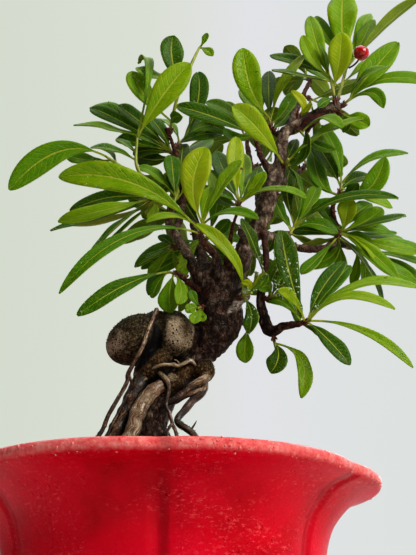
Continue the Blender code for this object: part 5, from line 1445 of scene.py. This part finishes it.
# Painted shade: sprays behind the front ones are set darker
SHADED_BACK_TONE = 0.28
given = [entry[9] for _, leaves in SPRAYS.values() for entry in leaves if len(entry) > 9]
print("tones given by hand:", len(given), "with a mean of", round(sum(given) / len(given), 2))

# %% [markdown]
# ### One leaf
# Leaves could be planes with a cut-out picture, but those look like paper from the side. Here each leaf is a
# fine grid: its long rows are bent along a midrib curve, its cross rows take their width from one formula, and
# folds, waves and teeth move the points a little more. Solidify then gives the sheet a thickness, more at the
# midrib, and a second material for its underside.

# %% One leaf's midrib, facing and outline
ARCH = 0.05
PETIOLE_HALF_WIDTH = 0.0005
PETIOLE_PART = 0.12
WIDEST = 1.65
FULLNESS = 0.56


def blade_part(s):
    """How far along its blade a place on a leaf lies, 0 on the petiole."""
    return max(0.0, (s - PETIOLE_PART) / (1 - PETIOLE_PART))


class Leaf:
    """One leaf: a midrib from the root by the middle to the tip, and the way that its upper side faces."""

    def __init__(self, root, middle, tip, width, face):
        self.root = root
        self.control = 2 * middle - (root + tip) / 2
        self.tip = tip
        self.width = width
        self.face = face
        self.length = (middle - root).length + (tip - middle).length

    def midrib(self, s):
        return self.root * (1 - s) ** 2 + self.control * 2 * s * (1 - s) + self.tip * s * s

    def frame(self, s):
        """The directions across the blade and out of its upper side."""
        along = ((self.control - self.root) * (1 - s) + (self.tip - self.control) * s).normalized()
        out = (self.face - self.face.dot(along) * along).normalized()
        return along.cross(out), out

    def half_width(self, s):
        return max(PETIOLE_HALF_WIDTH, self.width / 2 * math.sin(math.pi * blade_part(s) ** WIDEST) ** FULLNESS)


def nearest_on(points, place):
    """The point of a shoot's line that lies nearest to this place."""
    best = None
    for a, b in zip(points, points[1:]):
        share = max(0.0, min(1.0, (place - a).dot(b - a) / (b - a).length_squared))
        found = a + (b - a) * share
        if best is None or (found - place).length < (best - place).length:
            best = found
    return best


def seen_leaf(points, entry, shift):
    """A leaf as the front shows it, its tip moved this much nearer along the sight line."""
    foot_x, foot_z, mid_x, mid_z, tip_x, tip_z, width, turn, tip_near = entry[:9]
    root = nearest_on(points, seen(foot_x, foot_z, -points[0].y / MM))
    tip = seen(tip_x, tip_z, tip_near + shift)
    turned_by = math.radians(turn)
    mid_near = (-root.y / MM + tip_near + shift) / 2 + ARCH * (tip - root).length / MM * math.cos(turned_by)
    middle = seen(mid_x, mid_z, mid_near)
    chord = (tip - root).normalized()
    sight = (EYE - middle).normalized()
    toward = (sight - sight.dot(chord) * chord).normalized()
    up = chord.cross(toward) * (1 if tip_x < foot_x else -1)
    return Leaf(root, middle, tip, width * MM, toward * math.cos(turned_by) + up * math.sin(turned_by))


print("leaf formulas ready")

# %% Leaves that grow round a shoot by rule
TURN_PER_SHIFT = 0.03
LOWEST_SPREAD = 78
HIGHEST_SPREAD = 28
DROOP = 0.12
FIRST_LEAF = 0.3
LEAF_LENGTHS = (23, 36)
LEAF_WIDTHS = (7.5, 10.5)


def grown_leaf(points, order, count, draw, shift):
    """A leaf spaced round its shoot by the golden angle, the lower ones spread wider."""
    axis = (points[-1] - points[0]).normalized()
    side = axis.orthogonal().normalized()
    outward = Matrix.Rotation(GOLDEN_ANGLE * (order + draw[0]) + shift * TURN_PER_SHIFT, 3, axis) @ side
    share = order / (count - 1)
    spread = math.radians(LOWEST_SPREAD + (HIGHEST_SPREAD - LOWEST_SPREAD) * share)
    along = axis * math.cos(spread) + outward * math.sin(spread)
    length = (LEAF_LENGTHS[0] + (LEAF_LENGTHS[1] - LEAF_LENGTHS[0]) * draw[1]) * MM
    width = (LEAF_WIDTHS[0] + (LEAF_WIDTHS[1] - LEAF_WIDTHS[0]) * draw[2]) * MM
    root = points[0].lerp(points[-1], FIRST_LEAF + (1 - FIRST_LEAF) * share)
    face = (axis - axis.dot(along) * along).normalized()
    tip = root + along * length + Vector((0, 0, -DROOP * length))
    middle = root + along * length / 2 + face * ARCH * length
    return Leaf(root, middle, tip, width, face)


print("a shoot's leaves turn by", round(math.degrees(GOLDEN_ANGLE), 1), "degrees each")

# %% Mould one blade from a grid
STEP_ALONG = 0.0011
ROWS_ACROSS = 6
BLADE_FOLD = 0.30
FLATTEN = 0.10
TOOTH = 0.05
TOOTH_LEAF_WIDTH = 0.004
# A blade's ripples: their height as a share of its width, their number, and how far its sides are out of step
WAVE_HEIGHT, WAVES, SIDES_APART = (0.02, 0.07), (1.2, 2.6), 0.9
WAVE_ONSET = 4
TWIST = 0.16
TIP_CURL, CURL_START, CURL_GAIN = 0.035, 0.7, 8
# Which points count as on the edge or on the midrib, the part of the edge with teeth, and the petiole's strength
AT_EDGE, AT_RIB, TOOTHED, PETIOLE_RIB = 0.99, 0.01, (0.25, 0.97), 0.25
# The power that crowds a blade's columns towards its round tip
TIP_CROWDING = 1.35


def moulded(leaf, tone, chance):
    """The leaf as a fine sheet, upper side out, with its tone, a seed and its midrib's strength on the points."""
    columns = max(14, 2 * round(leaf.length / STEP_ALONG / 2))
    wave, waves, phase = chance.uniform(*WAVE_HEIGHT), chance.uniform(*WAVES), chance.random() * math.tau
    twist, curl, seed = chance.uniform(-TWIST, TWIST), chance.uniform(0.0, TIP_CURL), chance.random()
    bm = bmesh.new()
    uv = bm.loops.layers.uv.new("leaf_map")
    tone_layer = bm.verts.layers.float.new("tone")
    seed_layer = bm.verts.layers.float.new("seed")
    rib_layer = bm.verts.layers.deform.new("rib")
    bmesh.ops.create_grid(bm, x_segments=columns, y_segments=ROWS_ACROSS, size=0.5)
    places = {}
    for vert in bm.verts:
        s, t = 1 - (0.5 - vert.co.x) ** TIP_CROWDING, -2 * vert.co.y
        places[vert] = (s, t)
        across, out = leaf.frame(s)
        half = leaf.half_width(s)
        blade = blade_part(s)
        if abs(t) > AT_EDGE and TOOTHED[0] < blade < TOOTHED[1]:
            half *= 1 + TOOTH * (round((vert.co.x + 0.5) * columns) % 2) * min(1.0, TOOTH_LEAF_WIDTH / leaf.width)
        lift = half * (BLADE_FOLD * abs(t) - FLATTEN * t * t)
        ripple = math.sin(waves * math.tau * s + phase + (SIDES_APART if t > 0 else 0))
        lift += leaf.width * wave * ripple * t * t * min(1, blade * WAVE_ONSET)
        lift += half * t * twist * s - leaf.length * curl * max(0.0, s - CURL_START) ** 2 * CURL_GAIN
        vert.co = leaf.midrib(s) + across * half * t * math.cos(BLADE_FOLD * 0.9) + out * lift
        vert[tone_layer] = tone
        vert[seed_layer] = seed
        vert[rib_layer][0] = 1.0 if abs(t) < AT_RIB else PETIOLE_RIB if s < PETIOLE_PART else 0.0
    for face in bm.faces:
        for loop in face.loops:
            s, t = places[loop.vert]
            loop[uv].uv = (s, (t + 1) / 2)
    return mesh_of("blade", bm)


print("blades have", ROWS_ACROSS, "rows across and a step of", STEP_ALONG / MM, "mm along")

# %% [markdown]
# ### Leaf colours
# Upper sides run from a deep bottle green on old leaves to yellow-green on young ones, with a paler midrib
# and stalk. The side veins show only as a faint feathering. A leaf held against the light glows, so some
# of the light passes through. Undersides are paler and duller, with a raised midrib.

# %% Leaf materials
def leaf_finish(name, colours, rib_colour, glow, gloss, rough, vein_depth):
    """A leaf's skin: green by its tone, pale on rib and rim, with veins and flecks, and some scorched or wet."""
    made, tree, shader, place = new_finish(name, Specular_IOR_Level=gloss)
    tone = attribute(tree, "tone")
    seed = attribute(tree, "seed")
    flat = put(tree, "UVMap", {"uv_map": "leaf_map"}).outputs[0]
    along = axis_of(flat, "X")
    aside = maths("ABSOLUTE", minus(times(axis_of(flat, "Y"), 2.0), 1.0))
    mottle = grain(place, 260, 4, 0.6)
    fine = grain(place, 1500, 3, 0.5)
    shade = plus(tone, times(minus(mottle, 0.5), 0.38))
    shade = plus(shade, times(aside, 0.06))
    colour = ramp(shade, *colours)
    feather = minus(times(along, 15.0), times(aside, 2.0))
    feather = plus(feather, times(mottle, 0.8))
    vein = between(maths("SINE", times(feather, math.tau)), 0.55, 1.0)
    vein = times(vein, between(aside, 1.0, 0.75))
    colour = blend(times(vein, 0.1), colour, rib_colour)
    speckle = between(fine, 0.4, 0.7, 0.0, 0.22)
    colour = blend(speckle, colour, rib_colour)
    taper = minus(0.13, times(along, 0.10))
    stalk = between(along, 0.17, 0.10)
    rib = maths("MAXIMUM", between(minus(taper, aside), -0.03, 0.03), stalk)
    colour = blend(times(rib, 0.85), colour, rib_colour)
    rim = between(aside, 0.94, 1.0, 0.0, 0.5)
    colour = blend(times(rim, between(along, 0.2, 0.4)), colour, rib_colour)
    scorch = between(grain(place, 120, 3), 0.71, 0.74)
    colour = blend(times(scorch, between(seed, 0.7, 0.75)), colour, (96, 62, 22))
    link(shader, Base_Color=colour)
    dry = between(mottle, 0.3, 0.7, rough, rough + 0.16)
    relief = plus(times(mottle, 0.3), times(vein, -0.5))
    relief = plus(relief, times(rib, -1.0))
    wet = times(between(grain(place, 75, 3), 0.5, 0.58), between(seed, 0.5, 0.6))
    drop = times(beads_on(place, 900, 0.42, 0.2), wet)
    link(shader, Normal=bump(drop, 0.0005, 1.0, bump(relief, vein_depth, 0.8)))
    slick = times(maths("MAXIMUM", drop, times(wet, 0.4)), -0.8)
    link(shader, Roughness=times(dry, plus(1.0, slick)))
    through = put(tree, "BsdfTranslucent", Color=blend(0.6, colour, glow)).outputs[0]
    both = put(tree, "MixShader", _0=0.22, _1=shader.outputs[0], _2=through).outputs[0]
    tree.links.new(both, tree.nodes["Material Output"].inputs[0])
    return made


UPPER = ((0.0, (18, 57, 0)), (0.25, (40, 99, 0)), (0.5, (83, 139, 0)), (0.75, (125, 166, 0)),
         (1.0, (182, 190, 20)))
UNDER = ((0.0, (66, 92, 20)), (0.5, (116, 140, 40)), (1.0, (166, 176, 66)))
leaf_upper = leaf_finish("leaf_upper", UPPER, (186, 194, 66), (150, 200, 0), 0.19, 0.3, 0.0003)
leaf_under = leaf_finish("leaf_underside", UNDER, (182, 188, 96), (160, 190, 10), 0.12, 0.6, -0.0004)
print("leaf materials:", leaf_upper.name, leaf_under.name)

# %% Green shoots, buds and their finish
shoot_green, tree, shader, place = new_finish("green_shoot", Roughness=0.45)
along = grain(stretched(place, (1, 1, 0.3)), 500, 4)
colour = ramp(along, (0.3, (112, 124, 30)), (0.55, (154, 164, 54)), (0.8, (176, 140, 66)))
woody = ramp(along, (0.3, (40, 18, 12)), (0.55, (88, 50, 32)), (0.8, (140, 110, 80)))
grown = attribute(tree, "tone")
link(shader, Base_Color=blend(grown, woody, colour), Normal=bump(along, 0.0002, 0.6))
bud_brown, tree, shader, place = new_finish("bud_scale", Roughness=0.55)
flakes = grain(place, 900, 4)
link(shader, Base_Color=ramp(flakes, (0.3, (58, 22, 14)), (0.6, (112, 48, 28)), (0.8, (150, 90, 50))))
link(shader, Normal=bump(flakes, 0.0003, 0.7))
print("shoot materials:", shoot_green.name, bud_brown.name)

# %% [markdown]
# ### Sprays in their places
# The CAD model moved some leaves nearer or farther, so that no two solids cross. A leaf's tip is a corner of
# its solid, so each leaf is tried at the same shifts, in the same order, until its tip meets a corner.

# %% Find where the CAD model put each leaf
SHIFTS = (0, 3, -3, 6, -6, 9, -9, 12, -12, 16, -16, 20, -20, 25, -25, 30, -30)
TIP_REACH = 0.0006
SHOOT_LENGTH = 9.0
SHOOT_RADIUS = 0.0009
SHOOT_TIP_RADIUS = 0.0006
SEAT_REACH = 0.006
STEEPEST_SEAT = 0.5
GAP = 0.0003
FOOT_SUNK = 0.0022
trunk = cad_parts["trunk"].data
trunk.calc_loop_triangles()
cad_wood = BVHTree.FromPolygons([vert.co.copy() for vert in trunk.vertices],
                                [tuple(triangle.vertices) for triangle in trunk.loop_triangles])


def seated(points):
    """The shoot's points with its foot where the CAD model seats it, just off the wood's surface."""
    inward = (points[0] - points[1]).normalized()
    place, normal, _, _ = cad_wood.ray_cast(points[1], inward, (points[0] - points[1]).length + SEAT_REACH)
    if place is None:
        place, normal, _, _ = cad_wood.find_nearest(points[0])
        inward = (place - points[1]).normalized()
    slope = max(STEEPEST_SEAT, -normal.dot(inward))
    return [place - inward * (GAP + SHOOT_RADIUS * math.sqrt(1 - slope * slope) / slope)] + points[1:]


def as_placed(make, tips):
    """The leaf whose tip is at a vertex of its CAD node, or None."""
    for shift in SHIFTS:
        leaf = make(shift)
        if tips.find(leaf.tip)[2] < TIP_REACH:
            return leaf
    return None


def spray_plan():
    """For each spray: its shoot's points, what makes each leaf, and each leaf's tone."""
    plan = {}
    for name, (places, entries) in SPRAYS.items():
        points = [seen(*place) for place in places]
        tones = [entry[9] if len(entry) > 9 else None for entry in entries]
        makers = [partial(seen_leaf, points, entry) for entry in entries]
        plan[name] = (points, makers, tones, FRONT_TONE)
    for name, (foot, heading, count) in BACK_SPRAYS.items():
        start = seen(*foot)
        points = [start, start + Vector(heading).normalized() * SHOOT_LENGTH * MM]
        draw = random.Random(name)
        draws = [[draw.random() for _ in range(3)] for _ in range(count)]
        makers = [partial(grown_leaf, points, order, count, drawn) for order, drawn in enumerate(draws)]
        plan[name] = (points, makers, [None] * count, SHADED_BACK_TONE)
    return plan


plan = spray_plan()
print("sprays planned:", len(plan))

# %% Thicken leaves, and shoots with their bud scales
RIB_THICKNESS = 0.0009
EDGE_SHARE = 0.33
SHOOT_STEP = 0.0012
SHOOT_SIDES = 10
FOOT_SWELL = 1.25


def painted(bm, start, index):
    """Gives the faces from number start on this material."""
    bm.faces.ensure_lookup_table()
    for face in bm.faces[start:]:
        face.material_index = index


def thickened(sheets):
    """The leaf sheets as one mesh of thin solids, their undersides in the second material."""
    bm = bmesh.new()
    for sheet in sheets:
        absorb(bm, sheet)
    holder = placed("sheets", mesh_of("sheets", bm))
    holder.data.materials.append(leaf_upper)
    holder.data.materials.append(leaf_under)
    holder.vertex_groups.new(name="rib")
    shell = holder.modifiers.new("thickness", "SOLIDIFY")
    shell.thickness = RIB_THICKNESS
    shell.offset = -1
    shell.vertex_group = "rib"
    shell.thickness_vertex_group = EDGE_SHARE
    shell.material_offset = 1
    applied(holder)
    done = holder.data
    bpy.data.objects.remove(holder)
    return done


def shoot_mesh(points):
    """The shoot, its foot sunk into the wood."""
    inward = (points[0] - points[1]).normalized()
    line = [Vector((*(points[0] + inward * FOOT_SUNK), SHOOT_RADIUS * FOOT_SWELL))]
    line += [Vector((*place, SHOOT_RADIUS)) for place in points[:-1]]
    line += [Vector((*points[-1], SHOOT_TIP_RADIUS))]
    return rods([smooth_line(line, SHOOT_STEP)], SHOOT_SIDES)


SCALES = 7
SCALE_SIZE = (0.0006, 0.0003, 0.0016)
SCALE_RISE = 0.0004
SCALE_LEAN = 24
SCALE_OUT = 1.1


def add_bud_scales(bm, points, index):
    """A few brown scales round the shoot's foot, leaning outward, left there by the bud that it grew from."""
    stand = stood(points[0], (points[1] - points[0]).normalized())
    start = len(bm.faces)
    for order in range(SCALES):
        out = Matrix.Translation((SHOOT_RADIUS * SCALE_OUT, 0, SCALE_RISE * order))
        turn = stand @ spun(GOLDEN_ANGLE * order) @ out @ leant(SCALE_LEAN)
        ball(bm, 1, turn @ Matrix.Diagonal((*SCALE_SIZE, 1)))
    painted(bm, start, index)


print("bud scales on each shoot:", SCALES)

# %% Build the sprays
# How far up from its foot a shoot is brown, and where it has turned green
WOODY_UP_TO = (0.0015, 0.006)
LEAF_FINISHES = [leaf_upper, leaf_under, shoot_green, bud_brown]
UPPER_SIDE, GREEN_SHOOT, BUD_SCALE = 0, 2, 3
# How far a leaf's tone may fall below or rise above the usual one, and the darkest that it gets
DARKER, PALER, DARKEST = -0.22, 0.3, 0.02
missing = []


def spray(name, points, makers, tones, usual):
    """One spray as a piece: its leaves, its filling leaves, its shoot and the scales at its foot."""
    chance = random.Random("blade " + name)
    points[:] = seated(points)
    tips = finder([vert.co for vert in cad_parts["spray_" + name].data.vertices])
    sheets = []
    for index, (make, tone) in enumerate(zip(makers, tones)):
        leaf = as_placed(make, tips)
        if leaf is None:
            missing.append((name, index))
            continue
        own = tone if tone is not None else max(DARKEST, usual + chance.uniform(DARKER, PALER))
        sheets.append(moulded(leaf, own, chance))
    for entry in FILLERS.get(name, ()):
        sheets.append(moulded(seen_leaf(points, entry, 0), entry[9], chance))
    bm = bmesh.new()
    add_bud_scales(bm, points, BUD_SCALE)
    absorb(bm, thickened(sheets))
    start, corner = len(bm.faces), len(bm.verts)
    absorb(bm, shoot_mesh(points))
    painted(bm, start, GREEN_SHOOT)
    bm.verts.ensure_lookup_table()
    tone_layer = bm.verts.layers.float["tone"]
    for vert in bm.verts[corner:]:
        vert[tone_layer] = eased((vert.co - points[0]).length, *WOODY_UP_TO)
    piece = finished("leaves_" + name, bm, LEAF_FINISHES, ["spray_" + name])
    return piece


leafy = [spray(name, *parts) for name, parts in plan.items()]
total = sum(len(piece.data.polygons) for piece in leafy)
print("leaf faces:", total, "leaves with no place found:", missing)

# %% [markdown]
# ### Water and a dry leaf
# The plant has just been watered. A bump in the leaf's material gives the finest wetness, but drops that catch
# the light stand up from the leaf, so they are real domes: one small ball, flattened, turned to the leaf's
# face and copied over the wet ones. A brown dead leaf is caught under the upper limb, folded from two blades.

# %% Water drops on the leaves
DROPS = 1300
DROP_SIZE = 0.00036
DROP_HEIGHT = 0.6
DROP_DRIFT = 0.0004
# Every third drop lies on a soaked leaf; the others lie where this noise, per millimetre, is above its bound
SOAKED_TURN = 3
WET_SCALE, WET_ABOVE = 0.055, 0.12
# Leaves' upper faces that turn farther back than this stay dry, as no drop there would be seen
FACING_BACK = 0.3
# Soaked leaves: (x, z, reach in millimetres)
SOAKED = [(40, 186, 9), (60, 200, 10), (45, 207, 7), (68, 190, 7)]
chance = random.Random("drops")
tops, soaked = [], []
for piece in leafy:
    for face in piece.data.polygons:
        if face.material_index != UPPER_SIDE or face.normal.y > FACING_BACK:
            continue
        spot = face.center * 1000
        if any(math.hypot(spot.x - x, spot.z - z) < reach for x, z, reach in SOAKED):
            soaked.append((face.center.copy(), face.normal.copy()))
        elif noise.noise(spot * WET_SCALE) > WET_ABOVE:
            tops.append((face.center.copy(), face.normal.copy()))
places = []
for turn in range(DROPS):
    on_soaked = turn % SOAKED_TURN == 0
    spot, out = chance.choice(soaked if on_soaked else tops)
    size = DROP_SIZE * (0.35 + (1.7 if on_soaked else 0.9) * chance.random() ** 2)
    drift = Vector([chance.uniform(-DROP_DRIFT, DROP_DRIFT) for _ in range(3)])
    drift -= out * drift.dot(out)
    flattened = Matrix.Diagonal((size, size, size * DROP_HEIGHT, 1))
    places.append((0, stood(spot + drift, out) @ flattened, chance.random()))
leaf_water, tree, shader, place = new_finish("leaf_water", Roughness=0.05, Specular_IOR_Level=0.8, Coat_Weight=1.0,
                                             Coat_Roughness=0.02)
# Painted highlight: the drops are coloured pale whitish green, for the shine of water
link(shader, Base_Color=blend(grain(place, 500), (96, 140, 46), (206, 222, 190)))
finished("leaf_drops", scatter(prototypes(1, lambda bm, _: ball(bm, 1)), places), [leaf_water])
print("drops:", len(places), "on", len(tops), "wet faces and", len(soaked), "soaked ones")

# %% A dry leaf caught under the upper limb
dry_finish, tree, shader, place = new_finish("dry_leaf", Specular_IOR_Level=0.2, Roughness=0.7)
crumple = grain(place, 420, 5, 0.65)
link(shader, Base_Color=ramp(crumple, (0.32, (18, 7, 5)), (0.5, (54, 20, 14)), (0.7, (112, 56, 34))))
link(shader, Normal=bump(crumple, 0.0006, 0.9))
DRY_STALK = [seen(84.5, 301, 5), seen(83, 300.5, 5.5)]
DRY_BLADES = ((84, 300.5, 76.5, 296, 68.5, 288.5, 6.5, 20, 6), (83, 300, 75.5, 293.5, 70, 286.5, 5.5, 130, 5))
bm = bmesh.new()
absorb(bm, thickened([moulded(seen_leaf(DRY_STALK, entry, 0), 0.5, random.Random("dry")) for entry in DRY_BLADES]))
dry_piece = finished("dry_leaf", bm, [dry_finish, dry_finish])
print("dry leaf:", len(dry_piece.data.polygons), "faces")

# %% [markdown]
# ## The berry
# One ripe berry hangs from the crown: glossy scarlet, a little flattened, with the dried star of its flower
# at the far end and a short stalk. A turned profile gives the dimples at both ends that a sphere lacks.

# %% Berry and stalk
BERRY = (102, 334.9, 5)
STALK = [(95.1, 325.9, -4), (97.5, 327.5, -1), (99.8, 330, 3), (101.2, 333, 5)]
BERRY_RADIUS = 0.0042
BERRY_PROFILE = ((0.0, -0.80), (0.16, -0.86), (0.42, -0.88), (0.74, -0.66), (0.96, -0.22), (1.0, 0.10),
                 (0.90, 0.50), (0.64, 0.80), (0.36, 0.90), (0.20, 0.84), (0.0, 0.74))
AIM = Vector((0.35, -0.45, 0.8)).normalized()
BERRY_STEP = 0.09
BERRY_TURNS = 40
BERRY_UNEVEN = 0.03
STAR_POINTS = 5
STAR_LEAN = 62
STAR_SIZE = (0.0003, 0.0007, 0.0022)
STAR_RISE = 0.8 * BERRY_RADIUS
STAR_OUT = 0.0009
STALK_RADIUS = 0.0005
STALK_STEP = 0.0008
STAR, STEM = 1, 2
stand = stood(seen(*BERRY), AIM)
profile = smooth_line([Vector(place) for place in BERRY_PROFILE], BERRY_STEP)
profile = [(max(0.0, radius) * BERRY_RADIUS, height * BERRY_RADIUS) for radius, height in profile]
bm = turned(profile, Vector((1, 0)), BERRY_TURNS)
for vert in bm.verts:
    vert.co *= 1 + BERRY_UNEVEN * noise.noise(vert.co * 320)
bmesh.ops.transform(bm, matrix=stand, verts=bm.verts)
start = len(bm.faces)
for index in range(STAR_POINTS):
    turn = stand @ Matrix.Translation((0, 0, STAR_RISE)) @ spun(index * math.tau / STAR_POINTS)
    point = turn @ leant(STAR_LEAN) @ Matrix.Translation((0, 0, STAR_OUT)) @ Matrix.Diagonal((*STAR_SIZE, 1))
    bmesh.ops.create_cone(bm, cap_ends=True, segments=6, radius1=1, radius2=0.05, depth=1, matrix=point)
painted(bm, start, STAR)
start = len(bm.faces)
stem = smooth_line([Vector((*seen(*place), STALK_RADIUS)) for place in STALK], STALK_STEP)
absorb(bm, rods([stem], SHOOT_SIDES))
painted(bm, start, STEM)
berry_skin, tree, shader, place = new_finish("berry_skin", Coat_Weight=0.8, Coat_Roughness=0.05, Roughness=0.25,
                                             Subsurface_Weight=0.15, Subsurface_Radius=(0.002, 0.0004, 0.0002))
freckle = between(cells(place, 1700)[0], 0.2, 0.1)
skin = ramp(grain(place, 220, 4), (0.3, (150, 2, 10)), (0.55, (196, 6, 16)), (0.8, (220, 36, 20)))
link(shader, Base_Color=blend(times(freckle, 0.25), skin, (240, 150, 70)))
link(shader, Normal=bump(grain(place, 900, 3), 0.0001, 0.3))
berry_piece = finished("ripe_berry", bm, [berry_skin, bud_brown, shoot_green], ["berry"])
print("berry:", len(berry_piece.data.polygons), "faces")
